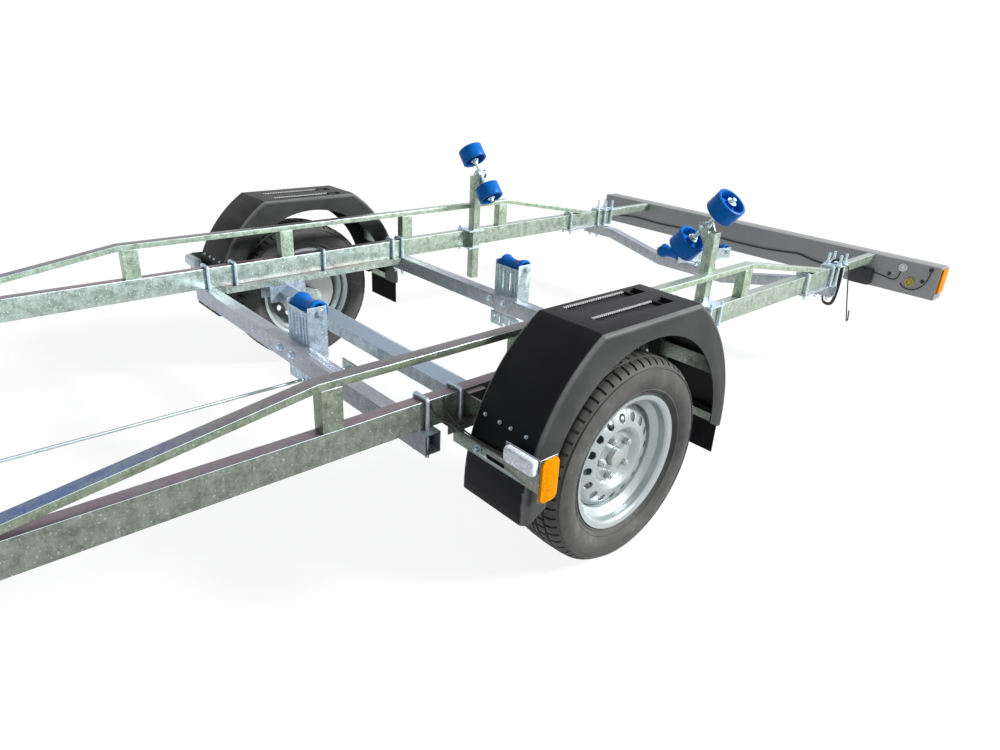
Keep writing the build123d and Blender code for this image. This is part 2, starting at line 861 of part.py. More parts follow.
# Fender stays: a flat bar inside each end of the fender, bent back to a foot on the rail
stay_face_y = frame_width / 2 + u_bolt_gap + 2 * u_bolt_radius + stay_clearance
stay_foot_z = (rail_bottom + stay_foot_margin, rail_top - stay_foot_margin)
stays = []
for x, foot_x in stay_places:
    span = (at_x(x), at_x(x) + stay_thickness)
    stay = block(
        span, (stay_face_y, fender_y[1] - 2 * fender_round), (stay_bottom, stay_bottom + stay_height)
    )
    plate_x = (min(at_x(foot_x), span[0]), max(at_x(foot_x) + stay_foot, span[1]))
    stay += block(plate_x, (stay_face_y, stay_face_y + stay_thickness), stay_foot_z)
    foot_span = (at_x(foot_x), at_x(foot_x) + stay_foot)
    stay += block(foot_span, (frame_width / 2, stay_face_y), stay_foot_z)
    stays += pair(stay)

flap_x = at_x(fender_x) - fender_half_foot + flap_margin
flap_y = (fender_y[0] + flap_margin, fender_y[1] - flap_margin)
flap = block((flap_x, flap_x + sheet), flap_y, (flap_bottom, flap_top))
save("mud_flaps", *pair(flap))
flap_strip = block(
    (flap_x + sheet, flap_x + 2 * sheet),
    flap_y,
    (fender_foot, fender_foot + flap_strip_height),
)
save("fender_stays", *stays, *pair(flap_strip))

# Side markers: a flat arm from the rail to a plate beyond the fender, with an amber reflector
marker_bar_top = marker_bar_bottom + marker_bar_height
marker_face_x = at_x(marker_x)
marker_run = [
    (marker_face_x - marker_foot, axle_rail_y[1] + sheet / 2),
    (marker_face_x - sheet / 2, axle_rail_y[1] + sheet / 2),
    (marker_face_x - sheet / 2, marker_reach),
]
marker_line = extrude(Plane.XY.offset(marker_bar_bottom) * strip(marker_run, sheet), marker_bar_height)
marker = marker_line + block(
    (marker_face_x - sheet, marker_face_x),
    (marker_reach - marker_plate_width, marker_reach),
    (marker_bar_bottom, marker_plate_top),
)
marker += block(
    (marker_face_x - marker_return, marker_face_x),
    (marker_reach - sheet, marker_reach),
    (marker_skirt_bottom, marker_plate_top),
)
save("marker_brackets", *pair(marker))

reflectors = []
reflector_z = (marker_skirt_bottom + marker_plate_top) / 2
reflector_x = marker_face_x - marker_return / 2
reflector = block(
    (reflector_x - reflector_width / 2, reflector_x + reflector_width / 2),
    (marker_reach, marker_reach + reflector_depth),
    (reflector_z - reflector_length / 2, reflector_z + reflector_length / 2),
)
vertical = [edge for edge in reflector.edges() if abs((edge @ 0).Y - (edge @ 1).Y) > 1]
reflectors += pair(fillet(vertical, reflector_width / 3))


# Keel rollers
def keel_roller():
    """Waisted roller about Y, with hollow ends and a bore for its bolt."""
    half = roller_length / 2
    end_r, waist_r = roller_end_radius, roller_waist_radius
    bore = roller_bolt_radius + running_gap
    recess = end_r - roller_end_wall
    depth = half - roller_recess
    face = [
        Line((bore, -depth), (recess, -half)),
        Line((recess, -half), (end_r - roller_chamfer, -half)),
        Line((end_r - roller_chamfer, -half), (end_r, -half + roller_chamfer)),
        Line((end_r, -half + roller_chamfer), (end_r, -half + roller_land)),
        ThreePointArc((end_r, -half + roller_land), (waist_r, 0), (end_r, half - roller_land)),
        Line((end_r, half - roller_land), (end_r, half - roller_chamfer)),
        Line((end_r, half - roller_chamfer), (end_r - roller_chamfer, half)),
        Line((end_r - roller_chamfer, half), (recess, half)),
        Line((recess, half), (bore, depth)),
        Line((bore, depth), (bore, -depth)),
    ]
    return turned(make_face(face), (0, 0, 0))


roller_setback = bracket_sheet + roller_end_radius + roller_end_gap
cheek_y = roller_length / 2 + roller_end_gap
outer_y = cheek_y + bracket_sheet


def roller_bolt(x, z):
    """Bolt through both cheeks, with a head and a nut."""
    shape = bar((x, -outer_y, z), (x, outer_y, z), roller_bolt_radius)
    shape += nut((x, outer_y, z), (0, 1, 0), nut_across + 5, nut_height)
    shape += nut((x, -outer_y, z), (0, -1, 0), nut_across + 5, nut_height)
    return shape


def keel_bracket(crossbar_x):
    """Folded channel behind a crossbar: a slotted web with two cheeks for the roller's bolt."""
    face_x = crossbar_x - crossbar_depth / 2
    web = (face_x - bracket_sheet, face_x)
    shape = block(web, (-outer_y, outer_y), (bracket_bottom, bracket_top - bracket_web_drop))
    cheek_z = (bracket_bottom + bracket_cheek_rise, bracket_top)
    for y in (-outer_y, cheek_y):
        shape += block((face_x - bracket_depth, face_x), (y, y + bracket_sheet), cheek_z)
    roller_x = face_x - roller_setback
    shape -= bar(
        (roller_x, -outer_y, bracket_roller_z), (roller_x, outer_y, bracket_roller_z), roller_bolt_radius
    )
    for y in (-bracket_bolt_y, bracket_bolt_y):
        shape -= bar((web[0], y, bracket_bolt_z), (web[1], y, bracket_bolt_z), u_bolt_radius)
    slot_z = (rail_bottom + bracket_slot_rise, bracket_top - bracket_slot_drop)
    for y in (-roller_length / 6, roller_length / 6):
        shape -= block(web, (y - bracket_slot_half, y + bracket_slot_half), slot_z)
    return shape


roller = keel_roller()
brackets = []
for name, crossbar in (("front", crossbar_front_x), ("middle", crossbar_middle_x)):
    x = at_x(crossbar) - crossbar_depth / 2 - roller_setback
    save(f"keel_roller_{name}", Pos(x, 0, bracket_roller_z) * roller)
    brackets.append(keel_bracket(at_x(crossbar)) + roller_bolt(x, bracket_roller_z))

# Rear cradle: two side bars with a roller at each end, rocking on ears over the dipped crossbar
cradle_x = at_x(crossbar_rear_x)
bar_top_z = rear_bar_z - rear_bar_drop + rear_bar_height / 2
base_x = (cradle_x - crossbar_depth / 2, cradle_x + crossbar_depth / 2)
ear_outer_y = ear_half_gap + ear_metal
ears = block(base_x, (-ear_outer_y, ear_outer_y), (bar_top_z, bar_top_z + ear_metal))
for y in (-ear_outer_y, ear_half_gap):
    ears += block(
        (cradle_x - ear_width / 2, cradle_x + ear_width / 2),
        (y, y + ear_metal),
        (bar_top_z, cradle_axle_z + ear_width / 2),
    )
pin_y = outer_y + cradle_pin_tail
ears += bar((cradle_x, -pin_y, cradle_axle_z), (cradle_x, pin_y, cradle_axle_z), cradle_pin_radius)
save("keel_brackets", *brackets, ears)

half_length = cradle_half_pitch + cradle_end
cradle = block((-half_length, half_length), (-outer_y, -cheek_y), (-cradle_height / 2, cradle_height))
cradle += block((-half_length, half_length), (cheek_y, outer_y), (-cradle_height / 2, cradle_height))
for x in (-cradle_tie_x, cradle_tie_x):
    cradle += block(
        (x - cradle_tie_length / 2, x + cradle_tie_length / 2),
        (-cheek_y, cheek_y),
        (-cradle_height / 2, -cradle_height / 2 + sheet),
    )
cradle -= bar((0, -outer_y, 0), (0, outer_y, 0), cradle_pin_radius + running_gap)
cradle_place = Pos(cradle_x, 0, cradle_axle_z) * Rot(0, -cradle_tilt, 0)
for name, x in (("rear_low", -cradle_half_pitch), ("rear_high", cradle_half_pitch)):
    save(f"keel_roller_{name}", cradle_place * (Pos(x, 0, cradle_roller_rise) * roller))
    cradle += roller_bolt(x, cradle_roller_rise)
save("keel_cradle", cradle_place * cradle)

# Bilge rollers: a post inside each rail, with a tilting rod that carries two ribbed wheels
post_x = at_x(bilge_post_x)
post_y = frame_width / 2 - rail_width - bilge_post_size / 2
post_span = [(post_x, bilge_post_bottom), (post_x, bilge_post_top)]
bilge_post = box_tube(post_span, side_plane(post_y), bilge_post_size, bilge_post_size, sheet)
ear_x = bilge_post_size / 2 + bilge_ear_thickness
for side in (-ear_x, bilge_post_size / 2):
    ear_points = [(post_y, bilge_post_top - bilge_ear_foot), (bilge_pivot_y, bilge_pivot_z)]
    ear_face = strip(ear_points, bilge_ear_width)
    ear_face += Pos(bilge_pivot_y, bilge_pivot_z) * Circle(bilge_ear_width / 2)
    bilge_post += extrude(cross_plane(post_x + side) * ear_face, bilge_ear_thickness)
bilge_post -= bar(
    (post_x - ear_x, bilge_pivot_y, bilge_pivot_z),
    (post_x + ear_x, bilge_pivot_y, bilge_pivot_z),
    bilge_rod_radius + running_gap,
)
save("bilge_posts", *pair(bilge_post))

clamp_x = (post_x - bilge_clamp_length / 2, post_x + bilge_clamp_length / 2)
clamp_y = (post_y - bilge_post_size / 2, frame_width / 2 + bilge_clamp_reach)
clamp_plate_y = (clamp_y[0] - bilge_clamp_metal, clamp_y[1])
clamp = block(clamp_x, clamp_plate_y, (rail_top, rail_top + bilge_clamp_metal))
clamp += block(clamp_x, clamp_plate_y, (rail_bottom - bilge_clamp_metal, rail_bottom))
clamp -= block(
    (post_x - bilge_post_size / 2, post_x + bilge_post_size / 2),
    (clamp_y[0], clamp_y[0] + bilge_post_size),
    (rail_bottom - bilge_clamp_metal, rail_top + bilge_clamp_metal),
)
for x in (clamp_x[0] + bilge_clamp_bolt_margin, clamp_x[1] - bilge_clamp_bolt_margin):
    y = frame_width / 2 + u_bolt_radius + u_bolt_gap
    tail_z = (rail_bottom - bilge_clamp_tails[0], rail_top + bilge_clamp_tails[1])
    clamp += bar((x, y, tail_z[0]), (x, y, tail_z[1]), u_bolt_radius)
save("post_clamps", *pair(clamp))

hub_half = bilge_post_size / 2 - bilge_hub_play
rocker = bar((-hub_half, 0, 0), (hub_half, 0, 0), bilge_hub_radius)
rocker += bar((-ear_x - bilge_pin_tail, 0, 0), (ear_x + bilge_pin_tail, 0, 0), bilge_rod_radius)
rod_end = bilge_half_pitch + bilge_wheel_width / 2 + bilge_rod_tail
rocker += bar((0, -rod_end, 0), (0, rod_end, 0), bilge_rod_radius)
collar = bilge_half_pitch - bilge_wheel_width / 2 - bilge_collar_gap
for side in (-1, 1):
    collar_ends = ((0, side * collar, 0), (0, side * (collar - bilge_collar_length), 0))
    rocker += bar(*collar_ends, bilge_collar_radius)
bilge_place = Pos(post_x, bilge_pivot_y, bilge_pivot_z) * Rot(bilge_tilt, 0, 0)
for name, shape in zip(("left", "right"), pair(bilge_place * rocker)):
    save(f"bilge_rocker_{name}", shape)


def bilge_wheel():
    """Wheel about Y, ribbed along its tread, with deep hollow ends."""
    half = bilge_wheel_width / 2
    bore = bilge_rod_radius + running_gap
    radius = bilge_wheel_radius
    face = [
        (bore, -half),
        (bilge_bush_radius, -half),
        (bilge_bush_radius, -bilge_web_half),
        (radius - bilge_rim_wall, -bilge_web_half),
        (radius - bilge_rim_wall, -half),
        (radius - bilge_edge, -half),
        (radius, -half + bilge_edge),
        (radius, half - bilge_edge),
        (radius - bilge_edge, half),
        (radius - bilge_rim_wall, half),
        (radius - bilge_rim_wall, bilge_web_half),
        (bilge_bush_radius, bilge_web_half),
        (bilge_bush_radius, half),
        (bore, half),
    ]
    return turned(make_face(Polyline(*face, close=True)), (0, 0, 0))


wheel = bilge_wheel()
left_wheels = [bilge_place * (Pos(0, side * bilge_half_pitch, 0) * wheel) for side in (-1, 1)]
right_wheels = [mirror(shape, about=Plane.XZ) for shape in left_wheels]
save("bilge_wheels_left", *left_wheels)
save("bilge_wheels_right", *right_wheels)

# Light board: folded sheet on two tubes that slide in the rails
board_face = at_x(board_x)
board_back = at_x(-rear_reach)
half_board = board_width / 2
extension_middle_z = rail_top - sheet - extension_height / 2
extension = box_tube(
    [(board_face, extension_middle_z), (at_x(rail_rear_x + extension_entry), extension_middle_z)],
    side_plane(rail_y),
    extension_height,
    extension_width,
    sheet,
)
save("extension_tubes", *pair(extension))

board_y = (-half_board, half_board)
board = block((board_face - board_metal, board_face), board_y, (board_bottom, board_top))
board += block((board_back, board_face), board_y, (board_top - board_metal, board_top))
board += block((board_face - board_lip, board_face), board_y, (board_bottom, board_bottom + board_metal))
for side in (-1, 1):
    y = sorted((side * half_board, side * (half_board - board_metal)))
    board += block((board_back, board_face), y, (board_bottom, board_top))
save("light_board", board)

lamp_y = (half_board - lamp_margin - lamp_width, half_board - lamp_margin)
lamp_x = (board_face - board_metal - lamp_depth, board_face - board_metal)
lamp_z = ((board_bottom + board_top - lamp_height) / 2, (board_bottom + board_top + lamp_height) / 2)
lamp = block(lamp_x, lamp_y, lamp_z)
save("rear_lamps", *pair(fillet(lamp.edges().filter_by(Axis.X), lamp_round)))

end_reflector = block(
    (board_back + end_reflector_margin, board_back + end_reflector_margin + end_reflector_width),
    (half_board, half_board + reflector_depth),
    (board_top - end_reflector_margin - reflector_length, board_top - end_reflector_margin),
)
reflectors += pair(end_reflector)
save("amber_reflectors", *reflectors)

cable_box = block(
    (board_face, board_face + cable_box_depth),
    (cable_box_y, cable_box_y + cable_box_width),
    (cable_box_z, cable_box_z + cable_box_height),
)
save("cable_box", fillet(cable_box.edges().filter_by(Axis.X), cable_box_round))

# Cords on the light board, as places along Y and Z
board_cable_route = (
    (-915, 438), (-820, 451), (-700, 448), (-575, 443.5), (-450, 450), (-325, 448), (-200, 449),
    (-80, 445), (20, 444.5), (120, 446), (215, 452), (285, 459), (330, 465), (375, 459), (425, 447),
    (490, 443), (565, 446), (cable_box_y, 439),
)
lamp_wire_route = (
    (cable_box_y + cable_box_width, 461), (half_board - 263, 456), (half_board - 236, 452),
    (half_board - 212, 447), (half_board - 192, 449), (half_board - 180, 464), (half_board - 177, 486),
    (half_board - 172, 506),
)
side_wire_route = (
    (half_board - 164, 440), (half_board - 155, 426), (half_board - 134, 418), (half_board - 108, 417),
    (half_board - 83, 427), (half_board - 63, 446), (half_board - 50, 470), (half_board - 43, 498),
    (half_board - 41, 526),
)
for node, radius, route in (
    ("board_cable", board_cable_radius, board_cable_route),
    ("lamp_wire", wire_radius, lamp_wire_route),
    ("side_wire", wire_radius, side_wire_route),
):
    x = board_face + radius + cord_gap
    save(node, cord([(x, y, z) for y, z in route], radius))

# Cords at the rear of the left rail: a coil looped over it and a string with a folded end, given from
# the rail end and its outer face
coil_x = at_x(rail_rear_x) + cover_length + coil_gap
coil_face = SlotOverall(coil_height, 2 * coil_half_width) - SlotOverall(
    coil_height - 2 * coil_band, 2 * (coil_half_width - coil_band)
)
coil_plane = cross_plane(coil_x) * (Pos(rail_y, coil_middle_z) * (Rot(0, 0, 90) * coil_face))
save("cable_coil", extrude(coil_plane, coil_depth))

string_route = (
    (-12, -23, 557), (-17, -8, 559), (-23, 5, 553), (-29, 10, 539), (-39, 13, 516), (-48, 15, 488),
    (-57, 17, 456), (-68, 20, 420), (-80, 22, 383), (-90, 26, 345), (-103, 28, 309), (-113, 30, 284),
    (-118, 31, 266), (-122, 32, 253), (-129, 33, 250), (-136, 33, 255), (-136, 32, 266),
    (-131, 32, 284), (-126, 31, 305),
)
string_points = [(at_x(rail_rear_x + x), frame_width / 2 + y, z) for x, y, z in string_route]
save("hanging_string", cord(string_points, string_radius))

# Cords of the left side marker, from the rail's top edge along the marker arm; Y is from the outer face
front_wire_route = (
    (499, 3.5, 552), (494, 4, 528), (480, 6, 508), (462, 13, 489), (446, 31, 476), (439, 55, 468),
    (437, 90, 466.5), (437.5, 135, 465.5), (437, 185, 466.5), (435, 225, 470),
)
rear_wire_route = (
    (455, 3.5, 552), (450, 4, 530), (445, 6, 510), (440, 15, 492), (434, 33, 480), (431, 57, 472),
    (430.5, 89, 467), (431, 133, 466), (431, 180, 467), (430, 223, 471),
)
for node, route in (("marker_wire_front", front_wire_route), ("marker_wire_rear", rear_wire_route)):
    points = [(at_x(x), frame_width / 2 + y, z) for x, y, z in route]
    save(node, cord(points, wire_radius))

# Overrun device: casting between the beams, sliding draw tube, gaiter and ball coupling
housing_y = rail_nose_y - rail_width / 2
housing_ends = ((at_x(housing_rear_x), 0, coupling_z), (at_x(housing_front_x), 0, coupling_z))
nose_end_x = at_x(rail_nose_x)
housing = bar(*housing_ends, housing_radius)
housing += block(
    (at_x(housing_rear_x) + housing_rib_setback, nose_end_x),
    (-housing_y + housing_fit, housing_y - housing_fit),
    (rail_bottom + housing_fit, rail_top - housing_fit),
)
housing += block(
    (nose_end_x - nose_plate_length, nose_end_x),
    (-housing_y - rail_width, housing_y + rail_width),
    (rail_top, rail_top + nose_plate),
)
housing -= bar(*housing_ends, draw_tube_radius)
save("overrun_housing", housing)

draw_tube = bar(
    (at_x(housing_rear_x) + draw_tube_setback, 0, coupling_z),
    (at_x(draw_tube_front_x), 0, coupling_z),
    draw_tube_radius,
)

gaiter_points = [(draw_tube_radius, 0), (housing_radius - gaiter_fold / 2, 0)]
for step in range(gaiter_folds):
    gaiter_points.append((housing_radius + gaiter_rise, gaiter_pitch * (step + 0.5)))
    gaiter_points.append((housing_radius + gaiter_rise - gaiter_fold, gaiter_pitch * (step + 1)))
gaiter_length = gaiter_pitch * gaiter_folds
gaiter_points.append((draw_tube_radius, gaiter_length))
gaiter = revolve(make_face(Polyline(*gaiter_points, close=True)), Axis.Y, 360)
save("gaiter", Pos(at_x(housing_front_x), 0, coupling_z) * Rot(0, 0, -90) * gaiter)

head_rear_x = at_x(housing_front_x) + gaiter_length
head_end_x = at_x(ball_x) - ball_radius
head_radius = draw_tube_radius + head_wall
mouth_z = coupling_z - head_radius
cup_top_z = mouth_z + socket_depth
head = bar((head_rear_x, 0, coupling_z), (head_end_x, 0, coupling_z), head_radius)
head += bar((at_x(ball_x), 0, mouth_z), (at_x(ball_x), 0, cup_top_z + head_wall), front_reach - ball_x)
head += draw_tube
head -= bar((at_x(ball_x), 0, mouth_z), (at_x(ball_x), 0, cup_top_z), ball_radius)
save("coupling", head)

handle_foot_z = cup_top_z + head_wall
handle_run = [
    (at_x(ball_x), handle_foot_z),
    (at_x(ball_x) - handle_length / 3, handle_foot_z + handle_rise),
    (at_x(ball_x) - handle_length, handle_foot_z + handle_rise * 1.2),
]
handle = extrude(side_plane(0) * strip(handle_run, handle_height), handle_width / 2, both=True)
save("coupling_handle", handle - head)

lever_y = -(housing_radius + lever_gap)
lever_x = at_x(rail_nose_x) + lever_offset
lever_run = [
    (lever_x, coupling_z),
    (lever_x + lever_lean / 6, coupling_z + lever_height * 0.43),
    (lever_x + lever_lean, coupling_z + lever_height),
]
pivot_z = coupling_z + lever_width / 2
lever = extrude(side_plane(lever_y) * strip(lever_run, lever_width), lever_metal / 2, both=True)
lever += bar((lever_x, lever_y, pivot_z), (lever_x, 0, pivot_z), lever_pin_radius)
save("handbrake_lever", lever - bar(*housing_ends, housing_radius))


def beam_y(x):
    """Centre of the left drawbar beam at a distance ahead of the wheels."""
    return rail_y + (rail_nose_y - rail_y) * (x - rail_bend_x) / (rail_nose_x - rail_bend_x)


# Winch post on a plate across the beams, with the winch frame, drum and bow stop
post_mid_x = at_x(winch_post_x)
winch_post = box_tube(
    [(post_mid_x, rail_top + winch_post_plate), (post_mid_x, winch_post_top)],
    side_plane(0),
    winch_post_size,
    winch_post_size,
    sheet,
)
plate_half_x = winch_post_size / 2 + post_plate_margin
plate_half_y = beam_y(winch_post_x) + rail_width
winch_post += block(
    (post_mid_x - plate_half_x, post_mid_x + plate_half_x),
    (-plate_half_y, plate_half_y),
    (rail_top, rail_top + winch_post_plate),
)

winch_face_x = post_mid_x - winch_post_size / 2
drum_x = winch_face_x - winch_reach
cheek_z = (winch_z - winch_height / 2, winch_z + winch_height / 2)
cheek_x = (drum_x - winch_reach / 2, winch_face_x)
winch_y = winch_half + winch_metal
winch_frame = block((winch_face_x - winch_metal, winch_face_x), (-winch_y, winch_y), cheek_z)
for y in (-winch_y, winch_half):
    winch_frame += block(cheek_x, (y, y + winch_metal), cheek_z)
axle_ends = ((drum_x, -winch_y, winch_z), (drum_x, winch_y, winch_z))
winch_frame -= bar(*axle_ends, drum_axle_radius + running_gap)
save("winch_frame", winch_frame)

crank_y = winch_half + crank_gap
winch_drum = bar(
    (drum_x, -winch_half - drum_axle_tail, winch_z), (drum_x, crank_y, winch_z), drum_axle_radius
)
flange_y = winch_half - drum_flange_gap
for y in (-flange_y, flange_y - drum_flange):
    winch_drum += bar((drum_x, y, winch_z), (drum_x, y + drum_flange, winch_z), drum_flange_radius)
strap_y = flange_y - drum_flange
strap = bar((drum_x, -strap_y, winch_z), (drum_x, strap_y, winch_z), strap_radius)
strap -= bar((drum_x, -strap_y, winch_z), (drum_x, strap_y, winch_z), drum_axle_radius)
save("winch_strap", strap)
grip_z = winch_z - crank_length
crank = bar((drum_x, crank_y, winch_z), (drum_x, crank_y + crank_metal, winch_z), crank_width * 0.8)
crank += block(
    (drum_x - crank_width / 2, drum_x + crank_width / 2),
    (crank_y, crank_y + crank_metal),
    (grip_z - crank_width / 2, winch_z),
)
crank += bar((drum_x, crank_y, grip_z), (drum_x, crank_y + grip_length, grip_z), grip_radius)
save("winch_drum", winch_drum + crank)

stop_z = winch_post_top - stop_drop
stop_x = winch_face_x - stop_reach
half_arm = stop_arm / 2
winch_post += block((stop_x, winch_face_x), (-half_arm, half_arm), (stop_z - half_arm, stop_z + half_arm))
save("winch_post", winch_post)
stop_tip_x = stop_x - stop_depth
stop_face = make_face(
    Polyline(
        (stop_x, -stop_half_root),
        (stop_x, stop_half_root),
        (stop_tip_x, stop_half_tip),
        (stop_tip_x, stop_half_tip - stop_wall),
        (stop_x - stop_wall, 0),
        (stop_tip_x, stop_wall - stop_half_tip),
        (stop_tip_x, -stop_half_tip),
        close=True,
    )
)
save("bow_stop", extrude(Plane.XY.offset(stop_z - stop_height / 2) * stop_face, stop_height))

# Jockey wheel: clamped tube, sliding stem and a castor fork
jock_x = at_x(jockey_x)
jockey_beam_y = beam_y(jockey_x)
jockey_y = float(round(jockey_beam_y + jockey_beside_beam))
tube_top_z = jockey_tube_top
jockey_tube = bar(
    (jock_x, jockey_y, jockey_tube_bottom), (jock_x, jockey_y, tube_top_z), jockey_tube_radius
)
jockey_tube -= bar(
    (jock_x, jockey_y, jockey_tube_bottom),
    (jock_x, jockey_y, tube_top_z - jockey_cap),
    jockey_stem_radius + running_gap,
)
spindle_z = tube_top_z + jockey_spindle
jockey_tube += bar((jock_x, jockey_y, tube_top_z), (jock_x, jockey_y, spindle_z), jockey_grip_radius)
jockey_tube += block(
    (jock_x - jockey_grip_radius, jock_x + jockey_crank),
    (jockey_y - jockey_arm_width / 2, jockey_y + jockey_arm_width / 2),
    (spindle_z - jockey_arm_metal, spindle_z),
)
grip_x = jock_x + jockey_crank - jockey_grip_radius
jockey_tube += bar(
    (grip_x, jockey_y, spindle_z), (grip_x, jockey_y, spindle_z + jockey_grip_length), jockey_grip_radius
)
save("jockey_tube", jockey_tube)

clamp_block = block(
    (jock_x - jockey_clamp_half, jock_x + jockey_clamp_half),
    (jockey_beam_y, jockey_y + jockey_tube_radius + jockey_clamp_wall),
    (rail_bottom + jockey_clamp_wall, rail_top - jockey_clamp_wall),
)
clamp_block -= extrude(Plane.XY.offset(rail_bottom) * strip(rail_points, rail_width), rail_height)
clamp_block -= bar((jock_x, jockey_y, rail_bottom), (jock_x, jockey_y, rail_top), jockey_tube_radius)
outer_clamp = [solid for solid in clamp_block.solids() if solid.center().Y > jockey_beam_y]
save("jockey_clamp", *outer_clamp)

collar_z = (jockey_fork_top, jockey_fork_top + jockey_collar)
stem_top = tube_top_z - jockey_cap - jockey_lift - jockey_end_gap
stem = bar((jock_x, jockey_y, collar_z[1]), (jock_x, jockey_y, stem_top), jockey_stem_radius)
stem += bar((jock_x, jockey_y, collar_z[0]), (jock_x, jockey_y, collar_z[1]), jockey_collar_radius)
save("jockey_stem", stem)

fork_axle_x = jock_x - jockey_trail
fork_y = jockey_wheel_width / 2 + fork_gap
crown_z = jockey_fork_top - jockey_collar
fork = bar((jock_x, jockey_y, crown_z), (jock_x, jockey_y, jockey_fork_top), jockey_collar_radius)
fork += block(
    (fork_axle_x - fork_width / 2, jock_x + jockey_collar_radius),
    (jockey_y - fork_y - fork_metal, jockey_y + fork_y + fork_metal),
    (crown_z - fork_metal, crown_z),
)
cheek = make_face(
    Polyline(
        (jock_x + fork_width / 2, crown_z - fork_metal),
        (fork_axle_x - fork_width / 2, crown_z - fork_metal),
        (fork_axle_x - fork_width / 2, jockey_wheel_radius - fork_width / 4),
        (fork_axle_x + fork_width / 2, jockey_wheel_radius - fork_width / 4),
        close=True,
    )
)
for y in (jockey_y - fork_y, jockey_y + fork_y + fork_metal):
    fork += extrude(side_plane(y) * cheek, fork_metal)
axle_half_length = fork_y + fork_metal + fork_gap
fork += bar(
    (fork_axle_x, jockey_y - axle_half_length, jockey_wheel_radius),
    (fork_axle_x, jockey_y + axle_half_length, jockey_wheel_radius),
    jockey_axle_radius,
)
save("jockey_fork", fork)

half_tyre = jockey_wheel_width / 2
jockey_bore = jockey_axle_radius + running_gap
jockey_hub_radius = jockey_axle_radius + jockey_hub_wall
jockey_rim = jockey_wheel_radius - jockey_tyre_depth
half_web = jockey_web / 2
half_profile = [
    (jockey_bore, half_tyre),
    (jockey_hub_radius, half_tyre),
    (jockey_hub_radius, half_web),
    (jockey_rim, half_web),
    (jockey_rim, half_tyre),
    (jockey_wheel_radius - jockey_shoulder, half_tyre),
    (jockey_wheel_radius, half_tyre - jockey_shoulder),
]
jockey_profile = half_profile + [(radius, -y) for radius, y in reversed(half_profile)]
jockey_centre = (fork_axle_x, jockey_y, jockey_wheel_radius)
save("jockey_wheel", turned(make_face(Polyline(*jockey_profile, close=True)), jockey_centre))

# Brake linkage: rod from the overrun device to the equaliser in front of the axle
rod_front_x = at_x(housing_rear_x) + rod_hanger_setback
rod = bar((at_x(equaliser_x), 0, brake_rod_z), (rod_front_x, 0, brake_rod_z), brake_rod_radius)
rod += block(
    (at_x(equaliser_x) - equaliser_metal, at_x(equaliser_x)),
    (-equaliser_half_width, equaliser_half_width),
    (brake_rod_z - equaliser_height / 2, brake_rod_z + equaliser_height / 2),
)
rod += block(
    (rod_front_x - rod_hanger_width / 2, rod_front_x + rod_hanger_width / 2),
    (-equaliser_metal, equaliser_metal),
    (brake_rod_z - rod_hanger_width / 2, coupling_z),
)
save("brake_rod", rod - bar(*housing_ends, housing_radius))
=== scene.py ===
import json
import math

import bpy
from mathutils import Matrix, Vector


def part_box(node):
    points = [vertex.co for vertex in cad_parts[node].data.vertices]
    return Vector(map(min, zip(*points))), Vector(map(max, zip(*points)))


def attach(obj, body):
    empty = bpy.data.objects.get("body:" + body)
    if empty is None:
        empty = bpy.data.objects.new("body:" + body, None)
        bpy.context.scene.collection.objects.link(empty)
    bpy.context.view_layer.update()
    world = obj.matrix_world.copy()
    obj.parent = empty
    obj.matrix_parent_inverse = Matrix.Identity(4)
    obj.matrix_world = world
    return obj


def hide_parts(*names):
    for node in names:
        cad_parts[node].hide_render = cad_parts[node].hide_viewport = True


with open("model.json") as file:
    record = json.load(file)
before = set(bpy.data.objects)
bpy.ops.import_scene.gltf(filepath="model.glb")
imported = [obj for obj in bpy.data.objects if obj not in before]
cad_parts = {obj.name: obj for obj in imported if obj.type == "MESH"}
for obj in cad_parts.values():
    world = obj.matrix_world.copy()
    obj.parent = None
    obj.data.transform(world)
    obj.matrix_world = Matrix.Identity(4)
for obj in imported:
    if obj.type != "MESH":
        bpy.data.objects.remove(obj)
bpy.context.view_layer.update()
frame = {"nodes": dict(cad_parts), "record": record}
nodes = frame["nodes"]
wheel_low, wheel_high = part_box("tyre_left")
axle_x = (wheel_low.x + wheel_high.x) / 2

# --- Rails, truss and crossbars -------------------------------------------------------------
# Cold-formed steel box tube, cut and welded, then hot-dip galvanised: a mottled zinc skin with
# bright specks, scratches and runs, a painted reflection on the tops and a painted highlight on the
# rounded edges.


def finish(name, roughness, metallic=0.0):
    """A new node material with its shader's own sockets set."""
    material = bpy.data.materials.new(name)
    material.use_nodes = True
    shader = material.node_tree.nodes["Principled BSDF"]
    shader.inputs["Roughness"].default_value = roughness
    shader.inputs["Metallic"].default_value = metallic
    return material, shader


def place_node(material, scale=(1, 1, 1)):
    """Object coordinates, stretched by scale."""
    tree = material.node_tree
    coordinate = tree.nodes.new("ShaderNodeTexCoord")
    mapping = tree.nodes.new("ShaderNodeMapping")
    mapping.inputs["Scale"].default_value = scale
    tree.links.new(coordinate.outputs["Object"], mapping.inputs["Vector"])
    return mapping.outputs["Vector"]


def noise_node(material, vector, scale, detail=4.0, rough=0.55):
    """Cloudy pattern; scale is blotches per metre."""
    tree = material.node_tree
    noise = tree.nodes.new("ShaderNodeTexNoise")
    noise.inputs["Scale"].default_value = scale
    noise.inputs["Detail"].default_value = detail
    noise.inputs["Roughness"].default_value = rough
    tree.links.new(vector, noise.inputs["Vector"])
    return noise.outputs["Fac"]


